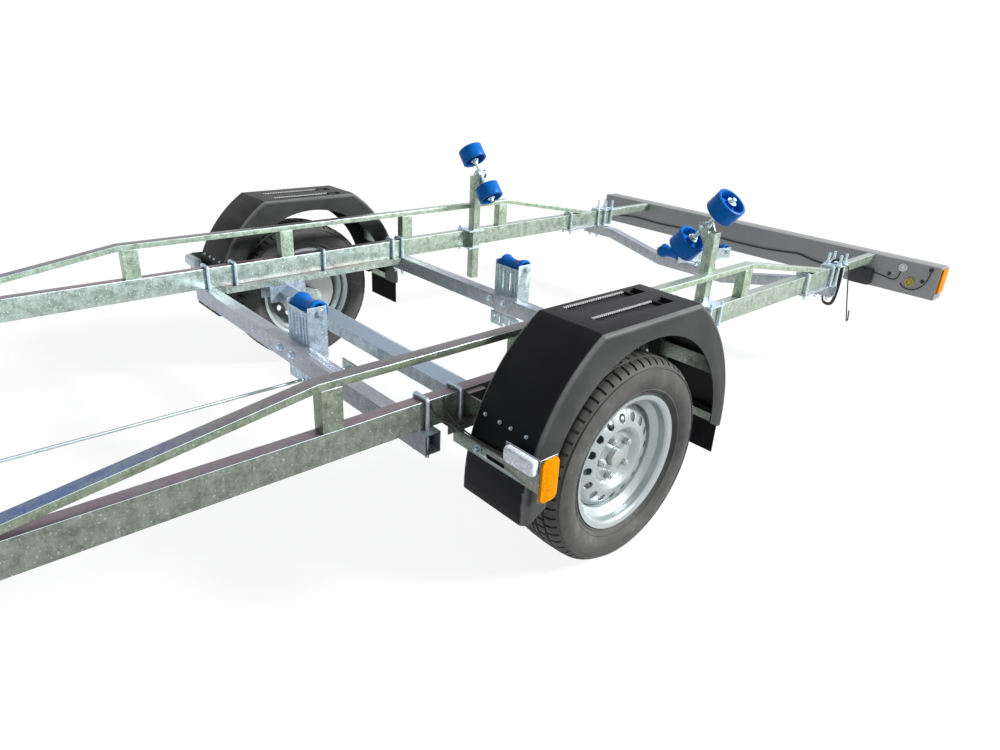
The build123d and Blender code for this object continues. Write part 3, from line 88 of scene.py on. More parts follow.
def cell_node(material, vector, scale):
    """Flat crystals with a random shade each."""
    tree = material.node_tree
    cells = tree.nodes.new("ShaderNodeTexVoronoi")
    cells.inputs["Scale"].default_value = scale
    tree.links.new(vector, cells.inputs["Vector"])
    split = tree.nodes.new("ShaderNodeSeparateColor")
    tree.links.new(cells.outputs["Color"], split.inputs["Color"])
    return split.outputs["Red"]


def ramp_node(material, factor, stops):
    """Colours at places along factor; stops are (place, colour)."""
    tree = material.node_tree
    ramp = tree.nodes.new("ShaderNodeValToRGB")
    elements = ramp.color_ramp.elements
    elements[0].position, elements[1].position = stops[0][0], stops[-1][0]
    elements[0].color, elements[1].color = (*stops[0][1], 1), (*stops[-1][1], 1)
    for place, colour in stops[1:-1]:
        elements.new(place).color = (*colour, 1)
    tree.links.new(factor, ramp.inputs["Fac"])
    return ramp.outputs["Color"]


def mask_node(material, factor, start, end, peak=1.0):
    """0 up to start, then rising to peak at end."""
    return ramp_node(material, factor, ((start, (0, 0, 0)), (end, (peak, peak, peak))))


def mix_node(material, factor, low, high, blend="MIX"):
    """Two colours mixed by a factor, which may be a number or a socket."""
    tree = material.node_tree
    mix = tree.nodes.new("ShaderNodeMix")
    mix.data_type = "RGBA"
    mix.blend_type = blend
    for socket, value in ((mix.inputs[0], factor), (mix.inputs[6], low), (mix.inputs[7], high)):
        if isinstance(value, bpy.types.NodeSocket):
            tree.links.new(value, socket)
        elif isinstance(value, (int, float)):
            socket.default_value = value
        else:
            socket.default_value = (*value, 1)
    return mix.outputs[2]


def spread_node(material, factor, low, high):
    """A factor of 0 to 1 spread between two numbers."""
    tree = material.node_tree
    spread = tree.nodes.new("ShaderNodeMapRange")
    spread.inputs["To Min"].default_value = low
    spread.inputs["To Max"].default_value = high
    tree.links.new(factor, spread.inputs["Value"])
    return spread.outputs["Result"]


def relief(material, shader, height, strength, distance):
    """Bump from a height pattern."""
    tree = material.node_tree
    bump = tree.nodes.new("ShaderNodeBump")
    bump.inputs["Strength"].default_value = strength
    bump.inputs["Distance"].default_value = distance
    tree.links.new(height, bump.inputs["Height"])
    tree.links.new(bump.outputs["Normal"], shader.inputs["Normal"])


def wear(material, shader, colour, roughness=None):
    """Colour and roughness patterns into the shader."""
    material.node_tree.links.new(colour, shader.inputs["Base Color"])
    if roughness is not None:
        material.node_tree.links.new(roughness, shader.inputs["Roughness"])


def facing(material, axis):
    """How far a face looks along an axis, from -1 to 1."""
    tree = material.node_tree
    geometry = tree.nodes.new("ShaderNodeNewGeometry")
    split = tree.nodes.new("ShaderNodeSeparateXYZ")
    tree.links.new(geometry.outputs["Normal"], split.inputs["Vector"])
    return split.outputs[axis]


def between(material, axis, start, end):
    """0 to 1 from one place to another along an axis, in metres."""
    tree = material.node_tree
    coordinate = tree.nodes.new("ShaderNodeTexCoord")
    split = tree.nodes.new("ShaderNodeSeparateXYZ")
    tree.links.new(coordinate.outputs["Object"], split.inputs["Vector"])
    spread = tree.nodes.new("ShaderNodeMapRange")
    spread.inputs["From Min"].default_value = start
    spread.inputs["From Max"].default_value = end
    tree.links.new(split.outputs[axis], spread.inputs["Value"])
    return spread.outputs["Result"]


def clouded(name, roughness, low, high, scale, detail=4.0, shine=None):
    """A material in two soft tones, with its roughness spread between the two of shine."""
    material, shader = finish(name, roughness)
    cloud = noise_node(material, place_node(material), scale, detail)
    gloss = None if shine is None else spread_node(material, cloud, *shine)
    wear(material, shader, mix_node(material, cloud, low, high), gloss)
    return material, shader


right_side_painted_light_tint = (1.9, 2.05, 2.2)
rear_lightening_tint = (1.85, 1.95, 1.88)
rear_top_lightening_tint = (1.6, 1.62, 1.8)
painted_edge_highlight = (0.46, 0.56, 0.63)


def galvanised(name, low, high, spark, top, top_sky_reflection, size=1.0, sky_from=None):
    """Hot-dip zinc: fine mottled walls with bright specks and scratches, a painted reflection on
    the tops and a painted highlight on the rounded edges. The right-hand side gets painted light,
    and walls and tops are lighter behind the axle. The top reflection's second tint drifts in, or
    takes over ahead of sky_from metres."""
    material, shader = finish(name, 0.40, 0.70)

    def tinted(colour, tint):
        return mix_node(material, 1.0, colour, tint, "MULTIPLY")

    place = place_node(material)
    clouds = noise_node(material, place, 30.0 * size, 10.0, 0.75)
    specks = noise_node(material, place, 150.0 * size, 4.0, 0.7)
    runs = noise_node(material, place_node(material, (90, 90, 14)), 1.0, 7.0, 0.7)
    scratches = noise_node(material, place_node(material, (30, 400, 400)), 1.0, 3.0, 0.6)
    drift = noise_node(material, place, 0.9, 2.0)

    tone = ramp_node(material, clouds, ((0.36, low), (0.56, high)))
    run_tint = ramp_node(material, runs, ((0.36, (0.80, 0.81, 0.80)), (0.62, (1.0, 1.0, 1.0))))
    wall = tinted(tone, run_tint)
    wall = mix_node(material, mask_node(material, specks, 0.60, 0.72), wall, spark)
    wall = mix_node(material, mask_node(material, scratches, 0.66, 0.74, 0.8), wall, spark)
    # Painted reflection on the tops: the top colours, with the sky tint drifting in or taking over
    # ahead of sky_from, mottled with the zinc's own tones and specks.
    if sky_from is None:
        sky = mask_node(material, drift, 0.40, 0.60)
    else:
        sky = between(material, "X", sky_from, sky_from + 0.2)
    top_reflection_and_mottle = mix_node(material, sky, top, top_sky_reflection)
    top_reflection_and_mottle = mix_node(material, mask_node(material, clouds, 0.42, 0.64, 0.5), top_reflection_and_mottle, high)
    top_reflection_and_mottle = mix_node(material, mask_node(material, specks, 0.55, 0.72, 0.8), top_reflection_and_mottle, high)

    # Painted light: walls on the right-hand half are made lighter and bluer.
    right_side = between(material, "Y", 0.5, 0.0)
    # Walls and tops are made lighter behind the axle.
    rear = between(material, "X", axle_x - 0.1, axle_x - 0.5)
    right_side_lit_wall = mix_node(material, right_side, wall, tinted(wall, right_side_painted_light_tint))
    wall = mix_node(material, rear, right_side_lit_wall, tinted(wall, rear_lightening_tint))
    top_reflection_and_mottle = mix_node(material, rear, top_reflection_and_mottle, tinted(high, rear_top_lightening_tint))

    # Painted highlight on the rounded edges between walls and tops, and the painted top reflection
    # where faces look up.
    rise = facing(material, "Z")
    rounded = mix_node(material, mask_node(material, rise, 0.24, 0.45), wall, painted_edge_highlight)
    colour = mix_node(material, mask_node(material, rise, 0.80, 0.97), rounded, top_reflection_and_mottle)
    wear(material, shader, colour, spread_node(material, clouds, 0.26, 0.52))
    relief(material, shader, specks, 0.35, 0.0004)
    return material


def dress(material, *names):
    """Give CAD nodes their material."""
    for name in names:
        nodes[name].data.materials.clear()
        nodes[name].data.materials.append(material)


bodies = frame["record"]["behaviour"]["bodies"]
body_of = {node: body for body, members in bodies.items() for node in members}


def link(name, data):
    """A new object in the scene."""
    piece = bpy.data.objects.new(name, data)
    bpy.context.scene.collection.objects.link(piece)
    return piece


def edit(piece, pick=None):
    """Edit mode on one piece, with the faces that pick accepts selected, or all of it."""
    bpy.ops.object.select_all(action="DESELECT")
    bpy.context.view_layer.objects.active = piece
    piece.select_set(True)
    for part in (*piece.data.vertices, *piece.data.edges, *piece.data.polygons):
        part.select = False
    if pick is not None:
        for face in piece.data.polygons:
            face.select = pick(face)
    bpy.ops.object.mode_set(mode="EDIT")
    bpy.context.tool_settings.mesh_select_mode = (pick is None, False, pick is not None)
    if pick is None:
        bpy.ops.mesh.select_all(action="SELECT")


def round_off(piece, width, segments=2, angle=30):
    """Round the sharp edges by width and smooth what is left."""
    bpy.ops.object.mode_set(mode="OBJECT")
    bpy.ops.object.select_all(action="DESELECT")
    bpy.context.view_layer.objects.active = piece
    piece.select_set(True)
    bevel = piece.modifiers.new("edge", "BEVEL")
    bevel.width = width
    bevel.segments = segments
    bevel.limit_method = "ANGLE"
    bevel.angle_limit = math.radians(angle)
    bpy.ops.object.modifier_apply(modifier="edge")
    bpy.ops.object.shade_smooth_by_angle(angle=math.radians(angle + 8))


def join(pieces, name):
    """One piece from several."""
    bpy.ops.object.select_all(action="DESELECT")
    for piece in pieces:
        piece.select_set(True)
    bpy.context.view_layer.objects.active = pieces[0]
    if len(pieces) > 1:
        bpy.ops.object.join()
    pieces[0].name = name
    return pieces[0]


def settle(piece, material, body):
    """Material and body of a finished piece."""
    if bpy.context.mode != "OBJECT":
        bpy.ops.object.mode_set(mode="OBJECT")
    piece.data.materials.clear()
    piece.data.materials.append(material)
    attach(piece, body)


def formed(material, slot_name, width, *names, segments=2):
    """Skins of CAD nodes with the rounded edges of bent, drawn or cast metal."""
    skins = []
    for name in names:
        skin = link(name + "_skin", nodes[name].data.copy())
        edit(skin)
        bpy.ops.mesh.remove_doubles(threshold=0.00002)
        bpy.ops.mesh.dissolve_limited(angle_limit=math.radians(0.5))
        round_off(skin, width, segments)
        settle(skin, material, body_of[name])
        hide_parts(name)
        skins.append(skin)
    return skins


# In each zinc the last two colours are the tops' painted reflection: purple and blue sky on the
# rails and chords, blue towards the chords' front end, and a pale painted highlight on the
# crossbars. The walls' green cast is a painted reflection of green surroundings.
zinc = galvanised(
    "galvanised_steel",
    (0.115, 0.14, 0.112), (0.225, 0.255, 0.22), (0.58, 0.64, 0.62),
    (0.21, 0.13, 0.15), (0.17, 0.125, 0.16),
)
chord_zinc = galvanised(
    "chord_zinc",
    (0.125, 0.158, 0.112), (0.245, 0.290, 0.220), (0.58, 0.64, 0.62),
    (0.15, 0.125, 0.155), (0.075, 0.115, 0.27),
    sky_from=0.05,
)
bar_zinc = galvanised(
    "crossbar_zinc",
    (0.165, 0.17, 0.19), (0.235, 0.24, 0.265), (0.45, 0.47, 0.50),
    (0.34, 0.34, 0.39), (0.50, 0.58, 0.63),
)
formed(zinc, "galvanised", 0.004, "rails", "bilge_posts", "winch_post", segments=3)
formed(bar_zinc, "galvanised", 0.004, "crossbars", "crossbar_rear", segments=3)
formed(chord_zinc, "galvanised", 0.003, "truss_chords", "truss_posts", segments=3)
formed(zinc, "galvanised", 0.003, "extension_tubes", segments=3)
dress(zinc, "axle_rails", "fender_stays")

# --- Axle -----------------------------------------------------------------------------------
# Rubber-sprung hexagonal tube between two welded hangers, with a forged trailing arm and stub
# axle at each end, all galvanised after welding.
# Its last two colours are a painted blue and purple sky reflection on the tube's top faces.
axle_zinc = galvanised(
    "axle_zinc",
    (0.12, 0.13, 0.14), (0.22, 0.25, 0.27), (0.55, 0.60, 0.66),
    (0.13, 0.20, 0.40), (0.22, 0.21, 0.38),
)
dress(axle_zinc, "axle_tube")
formed(zinc, "galvanised", 0.003, "trailing_arms")
dress(zinc, "brake_rod")

# --- Clamps and fasteners -------------------------------------------------------------------
# U-bolts, nuts and clamp plates of bent rod and pressed plate in bright electroplated zinc, and
# the hexagon-headed bolts that hold the keel brackets.
# Its last two colours are a painted sky reflection on the tops.
plate_zinc = galvanised(
    "bright_zinc",
    (0.24, 0.30, 0.35), (0.40, 0.46, 0.51), (0.70, 0.75, 0.79),
    (0.34, 0.40, 0.48), (0.28, 0.35, 0.46), size=2.0,
)
dress(plate_zinc, "rail_u_bolts", "post_clamps", "jockey_clamp")
washer_height = 0.0016
crown_inset = 0.06
crown_rise = 0.12


def hex_bolt(name, seat, axis, across, height, washer):
    """Hexagon head with a chamfered crown, sitting on a washer; seat is its place on the steel."""
    direction = Vector(axis)
    turn = direction.to_track_quat("Z", "Y").to_euler()
    seat = Vector(seat)
    bpy.ops.object.select_all(action="DESELECT")
    bpy.ops.mesh.primitive_cylinder_add(
        vertices=24,
        radius=washer,
        depth=washer_height,
        location=seat + direction * washer_height / 2,
        rotation=turn,
    )
    ring = bpy.context.object
    bpy.ops.object.transform_apply(location=True, rotation=True)
    bpy.ops.mesh.primitive_cylinder_add(
        vertices=6,
        radius=across / 2 / math.cos(math.pi / 6),
        depth=height,
        location=seat + direction * (washer_height + height / 2),
        rotation=turn,
    )
    head = bpy.context.object
    bpy.ops.object.transform_apply(location=True, rotation=True)
    edit(head, lambda face: face.normal.dot(direction) > 0.9)
    bpy.ops.mesh.inset(thickness=across * crown_inset)
    bpy.ops.transform.translate(value=direction * height * crown_rise)
    bpy.ops.object.mode_set(mode="OBJECT")
    ring.select_set(True)
    bpy.ops.object.join()
    head.name = name
    round_off(head, 0.0004, 1)
    return head


def bolted(name, seats, axis, across, height, washer):
    """A row of like bolts as one piece."""
    heads = [
        hex_bolt(f"{name}_{count}", seat, axis, across, height, washer)
        for count, seat in enumerate(seats)
    ]
    settle(join(heads, name), plate_zinc, "frame")


crossbar_low, crossbar_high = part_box("crossbars")
crossbar_width = 0.05
bar_face = {"front": crossbar_high.x, "middle": crossbar_low.x + crossbar_width}
bracket_bolt_y, bracket_bolt_z = 0.042, 0.451
for name, x in bar_face.items():
    seats = [(x, side * bracket_bolt_y, bracket_bolt_z) for side in (-1, 1)]
    bolted(f"bracket_bolts_{name}", seats, (1, 0, 0), across=0.017, height=0.009, washer=0.014)

# --- Tyres ----------------------------------------------------------------------------------
# Radial road tyres, vulcanised rubber with a film of dust: ribbed sidewalls, and a tread of
# shoulder blocks and sipes between four grooves.


def turned(name, centre, profile, steps):
    """A closed profile of (radius, distance along Y), drawn point by point and spun about the
    axle line."""
    bpy.ops.object.select_all(action="DESELECT")
    radius, along = profile[0]
    start = (centre[0], centre[1] + along, centre[2] + radius)
    bpy.ops.mesh.primitive_plane_add(size=0.001, location=start)
    piece = bpy.context.object
    piece.name = name
    bpy.ops.object.transform_apply(location=True)
    edit(piece)
    bpy.ops.mesh.merge(type="CENTER")
    for (radius, along), (next_radius, next_along) in zip(profile, [*profile[1:], profile[0]]):
        step = (0, next_along - along, next_radius - radius)
        bpy.ops.mesh.extrude_region_move(TRANSFORM_OT_translate={"value": step})
    bpy.ops.mesh.select_all(action="SELECT")
    bpy.ops.mesh.spin(steps=steps, angle=2 * math.pi, center=centre, axis=(0, 1, 0))
    bpy.ops.mesh.select_all(action="SELECT")
    bpy.ops.mesh.remove_doubles(threshold=0.00002)
    bpy.ops.mesh.normals_make_consistent(inside=False)
    bpy.ops.object.mode_set(mode="OBJECT")
    return piece


def mirrored_profile(half):
    """A profile given for one half, finished with its mirror image."""
    return [*half, *[(radius, -along) for radius, along in reversed(half)]]


def spin_step(place, steps):
    """Which of the steps of a spin a place is on, counted about Y."""
    return round((math.atan2(place.z, place.x) / (2 * math.pi) + 0.5) * steps - 0.5)


def sink(piece, pick, depth):
    """Press in the faces that pick accepts."""
    edit(piece, pick)
    bpy.ops.mesh.extrude_region_shrink_fatten(TRANSFORM_OT_shrink_fatten={"value": -depth})
    bpy.ops.object.mode_set(mode="OBJECT")


tyre_rubber, tyre_shader = finish("tyre_rubber", 0.62)
tyre_shader.inputs["Specular IOR Level"].default_value = 0.3
tyre_place = place_node(tyre_rubber)
tyre_dust = noise_node(tyre_rubber, tyre_place, 11.0, 8.0, 0.7)
tyre_grit = noise_node(tyre_rubber, tyre_place, 420.0, 3.0)
wear(
    tyre_rubber,
    tyre_shader,
    ramp_node(
        tyre_rubber,
        tyre_dust,
        (
            (0.32, (0.032, 0.032, 0.032)),
            (0.55, (0.064, 0.064, 0.061)),
            (0.75, (0.125, 0.121, 0.112)),
        ),
    ),
    spread_node(tyre_rubber, tyre_dust, 0.5, 0.8),
)
relief(tyre_rubber, tyre_shader, tyre_grit, 0.35, 0.0006)
tread_steps = 240
tread_radius = 0.321
groove_depth = 0.007
sipe_depth = 0.005
shoulder_from, shoulder_radius = 0.057, 0.3030
rib_from, rib_to, rib_radius = 0.024, 0.047, 0.318
centre_to, centre_radius = 0.014, 0.3195
tyre_half_profile = [
    (0.1955, 0.067), (0.205, 0.070), (0.213, 0.077), (0.218, 0.0790), (0.2205, 0.0775),
    (0.228, 0.086), (0.2295, 0.0895), (0.2315, 0.0895), (0.233, 0.0890), (0.248, 0.0980),
    (0.262, 0.1003), (0.278, 0.0995), (0.2945, 0.0930), (0.2960, 0.0955), (0.2985, 0.0945),
    (0.2995, 0.0905), (0.3045, 0.0865), (0.3105, 0.0805), (0.3155, 0.0730), (0.3175, 0.0665),
    (0.3187, 0.0560), (0.3187 - groove_depth, 0.0550), (0.3190 - groove_depth, 0.0485),
    (0.3197, 0.0475), (0.3206, 0.0235), (0.3206 - groove_depth, 0.0225),
    (0.3206 - groove_depth, 0.0150), (0.321, 0.0140), (0.321, 0.0035), (0.3175, 0.0030),
]
tyre_inside = mirrored_profile(
    [(0.1955, -0.055), (0.212, -0.060), (0.245, -0.083), (0.290, -0.079), (0.303, -0.062)]
)
tyre_profile = [*mirrored_profile(tyre_half_profile), *tyre_inside]
both_sides = (("left", 1), ("right", -1))
for side, sign in both_sides:
    low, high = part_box(f"tyre_{side}")
    hub = ((low.x + high.x) / 2, (low.y + high.y) / 2, tread_radius)
    tyre = turned(f"tyre_{side}_tread", hub, tyre_profile, tread_steps)

    def lateral_groove(face):
        """Faces of the sunk bands across the shoulders and of the sipes between the ribs."""
        place = face.center - Vector(hub)
        radius = math.hypot(place.x, place.z)
        step = spin_step(place, tread_steps)
        across = abs(place.y)
        if across > shoulder_from and radius > shoulder_radius:
            return step % 4 == 0
        if rib_from < across < rib_to and radius > rib_radius:
            return step % 4 == 2
        return across < centre_to and radius > centre_radius and step % 6 == 3

    sink(tyre, lateral_groove, sipe_depth)
    bpy.ops.object.shade_smooth_by_angle(angle=math.radians(28))
    settle(tyre, tyre_rubber, f"wheel_{side}")
    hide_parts(f"tyre_{side}")

# --- Rims -----------------------------------------------------------------------------------
# Pressed steel discs with a ring of vents, welded into rolled barrels, sprayed silver and held to
# the drums by five nuts each.
rim_silver, rim_shader = finish("rim_silver", 0.30, 0.65)
rim_place = place_node(rim_silver)
rim_grain = noise_node(rim_silver, rim_place, 900.0, 2.0)
rim_cloud = noise_node(rim_silver, rim_place, 12.0, 5.0)
wear(
    rim_silver,
    rim_shader,
    mix_node(rim_silver, rim_cloud, (0.33, 0.38, 0.385), (0.45, 0.495, 0.495)),
    spread_node(rim_silver, rim_grain, 0.22, 0.38),
)
relief(rim_silver, rim_shader, rim_grain, 0.15, 0.0002)
formed(rim_silver, "rim_silver", 0.0016, "rim_left", "rim_right")

# --- Brake drums ----------------------------------------------------------------------------
# Cast iron drums that turn with the wheels, in dull silver grey, and pressed backplates fixed to
# the trailing arms.
drum_iron, drum_shader = finish("drum_iron", 0.42, 0.65)
drum_grain = noise_node(drum_iron, place_node(drum_iron), 160.0)
drum_tone = mix_node(drum_iron, drum_grain, (0.30, 0.34, 0.33), (0.48, 0.52, 0.50))
wear(drum_iron, drum_shader, drum_tone)
relief(drum_iron, drum_shader, drum_grain, 0.4, 0.0008)
formed(drum_iron, "drum_iron", 0.0012, "brake_drum_left", "brake_drum_right")
dress(drum_iron, "brake_backplates")

# --- Fenders --------------------------------------------------------------------------------
# One-piece thermoformed shells in black plastic with a fine satin grain and cloudy marks, with
# painted shade where they face forward or up, a painted highlight on their rounded edges and dimmer
# painted light on their sides, and two sunk channels pressed in the top, whose ribs carry a painted
# glint, screwed to the stays.
# The handbrake lever is coated in the same black.
fender_plastic, fender_shader = finish("fender_plastic", 0.42)
fender_shader.inputs["Specular IOR Level"].default_value = 0.10
fender_place = place_node(fender_plastic)
fender_grain = noise_node(fender_plastic, fender_place, 900.0, 2.0)
fender_cloud = noise_node(fender_plastic, fender_place, 7.0, 6.0, 0.65)
# Painted light by facing: painted shade, near black with a blue tinge, where the shell faces
# forward or up, a painted highlight on the rounded edges and dimmer painted light on the flat
# sides.
sideways = fender_plastic.node_tree.nodes.new("ShaderNodeMath")
sideways.operation = "ABSOLUTE"
fender_plastic.node_tree.links.new(facing(fender_plastic, "Y"), sideways.inputs[0])
fender_painted_light = ramp_node(
    fender_plastic,
    sideways.outputs[0],
    (
        (0.20, (0.006, 0.0062, 0.0085)),
        (0.50, (0.150, 0.152, 0.152)),
        (0.80, (0.100, 0.102, 0.102)),
        (1.0, (0.038, 0.040, 0.038)),
    ),
)
fender_marks = ramp_node(
    fender_plastic, fender_cloud, ((0.3, (0.75, 0.75, 0.75)), (0.7, (1.2, 1.2, 1.2)))
)
wear(
    fender_plastic,
    fender_shader,
    mix_node(fender_plastic, 1.0, fender_painted_light, fender_marks, "MULTIPLY"),
    spread_node(fender_plastic, fender_cloud, 0.32, 0.48),
)
relief(fender_plastic, fender_shader, fender_grain, 0.35, 0.0003)
dress(fender_plastic, "handbrake_lever")

fender_skin = formed(fender_plastic, "fender_black", 0.0008, "fenders")[0]
fender_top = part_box("fenders")[1].z
channel_x = (axle_x - 0.129, axle_x + 0.131)
pocket_x = (axle_x - 0.181, axle_x - 0.1315)
channel_rows = (0.855, 0.957)
channel_width = 0.046
channel_depth = 0.007
pocket_depth = 0.024
channel_wall = 0.0024
pan_margin = 0.002
pan_sink = 0.0004
mouth_drop = 0.010
mouth_height = 0.030
channels = []


def block(centre, size):
    """A plain block, made the active piece."""
    bpy.ops.object.select_all(action="DESELECT")
    bpy.ops.mesh.primitive_cube_add(size=1, location=centre)
    piece = bpy.context.object
    piece.scale = size
    bpy.ops.object.transform_apply(location=True, scale=True)
    return piece


def cut(piece, cutter):
    """Take one piece out of another."""
    boolean = piece.modifiers.new("cut", "BOOLEAN")
    boolean.operation = "DIFFERENCE"
    boolean.object = cutter
    bpy.context.view_layer.objects.active = piece
    bpy.ops.object.modifier_apply(modifier="cut")
    bpy.data.objects.remove(cutter)


def pressed(x_span, y, depth):
    """Cut one mouth in the fenders' top and add the open pan that is pressed below it."""
    middle = (x_span[0] + x_span[1]) / 2
    length = x_span[1] - x_span[0]
    mouth = block((middle, y, fender_top - mouth_drop), (length, channel_width, mouth_height))
    cut(fender_skin, mouth)
    pan = block(
        (middle, y, fender_top - pan_sink - depth / 2),
        (length + pan_margin, channel_width + pan_margin, depth),
    )
    edit(pan, lambda face: face.normal.z > 0.9)
    bpy.ops.mesh.delete(type="FACE")
    bpy.ops.mesh.select_all(action="SELECT")
    bpy.ops.mesh.flip_normals()
    bpy.ops.object.mode_set(mode="OBJECT")
    wall = pan.modifiers.new("wall", "SOLIDIFY")
    wall.thickness = channel_wall
    wall.offset = -1
    bpy.ops.object.modifier_apply(modifier="wall")
    round_off(pan, 0.0008)
    channels.append(pan)


rib_pitch = 0.0078
rib_count = 33
rib_size = (0.0042, 0.0066, 0.0050)
rib_start = (channel_x[0] + 0.005, 0.0042 - channel_width / 2, fender_top - 0.0030)
ribs = []
for sign in (-1, 1):
    for y in channel_rows:
        pressed(channel_x, sign * y, channel_depth)
        pressed(pocket_x, sign * y, pocket_depth)
        rib = block((rib_start[0], sign * y + rib_start[1], rib_start[2]), rib_size)
        row = rib.modifiers.new("row", "ARRAY")
        row.count = rib_count
        row.use_relative_offset = False
        row.use_constant_offset = True
        row.constant_offset_displace = (rib_pitch, 0, 0)
        bpy.ops.object.modifier_apply(modifier="row")
        round_off(rib, 0.0006, 1)
        ribs.append(rib)
# Painted highlight: the ribs' pale grey is a painted glint of sun on the channels' ribbed walls.
rib_glint_plastic = clouded("rib_glint_plastic", 0.30, (0.46, 0.46, 0.45), (0.70, 0.70, 0.70), 70.0)[0]
settle(join(ribs, "fender_channel_ribs"), rib_glint_plastic, "frame")
settle(join(channels, "fender_channels"), fender_plastic, "frame")
screw_x, screw_z = axle_x + 0.3992, 0.529
screw_rows = (0.844, 0.900, 0.941, 0.997)
screw_lean = (0.93, 0, 0.36)
for side, sign in both_sides:
    seats = [(screw_x, sign * y, screw_z) for y in screw_rows]
    bolted(f"fender_screws_{side}", seats, screw_lean, across=0.0075, height=0.004, washer=0.0055)

# --- Rubber parts ---------------------------------------------------------------------------
# Mud flaps cut from sheet and hung on the fenders, the moulded gaiter round the draw tube, and
# the jockey wheel with its solid tyre.
soft_rubber, rubber_shader = clouded(
    "black_rubber", 0.7, (0.006, 0.006, 0.008), (0.016, 0.016, 0.017), 14.0, detail=6.0
)
rubber_shader.inputs["Specular IOR Level"].default_value = 0.05
dress(soft_rubber, "mud_flaps")
formed(soft_rubber, "black_rubber", 0.002, "gaiter", "jockey_wheel")

# --- Blue rollers ---------------------------------------------------------------------------
# Keel rollers and the bow stop, moulded in blue thermoplastic rubber. The rollers turn on steel
# bolts in their brackets.
roller_blue, roller_shader = clouded(
    "roller_blue", 0.33, (0.0005, 0.075, 0.31), (0.002, 0.150, 0.53), 40.0, shine=(0.26, 0.44)
)
roller_shader.inputs["Specular IOR Level"].default_value = 0.10
keel_names = [f"keel_roller_{place}" for place in ("front", "middle", "rear_low", "rear_high")]
formed(roller_blue, "roller_blue", 0.0016, *keel_names, "bow_stop")

# --- Bilge wheels ---------------------------------------------------------------------------
# Deep-cupped wheels moulded in blue rubber with a ribbed tread, on steel bushes. Two turn on
# each rocker's rod.
bilge_pivot = (axle_x - 0.842, 0.640, 0.841)
bilge_tilt = math.radians(50)
bilge_reach = 0.104
wheel_profile = [
    (0.0085, 0.0300), (0.0150, 0.0300), (0.0165, 0.0280), (0.0175, 0.0070), (0.0450, 0.0050),
    (0.0475, 0.0300), (0.0500, 0.0335), (0.0560, 0.0340), (0.0595, 0.0320), (0.0610, 0.0285),
    (0.0610, 0.0060),
]
bush_profile = [(0.0086, 0.0315), (0.0190, 0.0315), (0.0190, 0.0300), (0.0086, 0.0300)]
bush_steps = 40
flute_steps = 84
flute_depth = 0.0018
flute_radius = 0.0602


def bilge_place(sign, end):
    """Where one wheel of a tilting rod stands, from the origin."""
    pivot = Matrix.Translation((bilge_pivot[0], sign * bilge_pivot[1], bilge_pivot[2]))
    tilt = Matrix.Rotation(sign * bilge_tilt, 4, "X")
    return pivot @ tilt @ Matrix.Translation((0, end * bilge_reach, 0))


def flute(face):
    """Every other tread face, which is pressed in to leave a rib."""
    centre = face.center
    on_tread = math.hypot(centre.x, centre.z) > flute_radius
    return on_tread and spin_step(centre, flute_steps) % 2 == 0


for side, sign in both_sides:
    wheels = []
    bushes = []
    for end in (-1, 1):
        place = bilge_place(sign, end)
        wheel_name = f"bilge_{side}_{end}"
        wheel = turned(wheel_name, (0, 0, 0), mirrored_profile(wheel_profile), flute_steps)
        sink(wheel, flute, flute_depth)
        wheel.data.transform(place)
        wheels.append(wheel)
        for face in (-1, 1):
            faced_profile = [(radius, face * along) for radius, along in bush_profile]
            bush = turned(f"bush_{side}_{end}_{face}", (0, 0, 0), faced_profile, bush_steps)
            bush.data.transform(place)
            bushes.append(bush)
    wheel = join(wheels, f"bilge_wheels_{side}_ribbed")
    bpy.ops.object.shade_smooth_by_angle(angle=math.radians(35))
    settle(wheel, roller_blue, f"bilge_wheels_{side}")
    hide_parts(f"bilge_wheels_{side}")
    bush = join(bushes, f"bilge_bushes_{side}")
    settle(bush, plate_zinc, f"bilge_wheels_{side}")
formed(plate_zinc, "bright_zinc", 0.0012, "bilge_rocker_left", "bilge_rocker_right")

# --- Keel brackets --------------------------------------------------------------------------
# Folded plate brackets bolted behind the crossbars, with pressed stiffening ribs either side
# of the slots and punched tabs below the bars, and the rocking cradle over the rear bar.
# Its last two colours are a pale painted reflection on the tops.
bracket_zinc = galvanised(
    "bracket_zinc",
    (0.16, 0.19, 0.21), (0.27, 0.32, 0.35), (0.65, 0.70, 0.74),
    (0.42, 0.48, 0.54), (0.42, 0.48, 0.54),
)
formed(bracket_zinc, "galvanised", 0.002, "keel_brackets", "keel_cradle")
web_back = 0.050
stiffener_z = (0.480, 0.578)
stiffener_rows = (-0.054, -0.034, -0.010, 0.010, 0.034, 0.054)
stiffener_radius = 0.0060
stiffener_taper = 0.6
for name, face_x in bar_face.items():
    ribs = []
    for y in stiffener_rows:
        bpy.ops.object.select_all(action="DESELECT")
        bpy.ops.mesh.primitive_cylinder_add(
            vertices=16,
            radius=stiffener_radius,
            depth=stiffener_z[1] - stiffener_z[0],
            location=(face_x - web_back, y, (stiffener_z[0] + stiffener_z[1]) / 2),
        )
        rib = bpy.context.object
        bpy.ops.object.transform_apply(location=True)
        edit(rib, lambda face: abs(face.normal.z) > 0.9)
        bpy.ops.transform.resize(value=(stiffener_taper, stiffener_taper, 1))
        bpy.ops.object.mode_set(mode="OBJECT")
        round_off(rib, 0.0006, 1)
        ribs.append(rib)
    settle(join(ribs, f"bracket_ribs_{name}"), bracket_zinc, "frame")

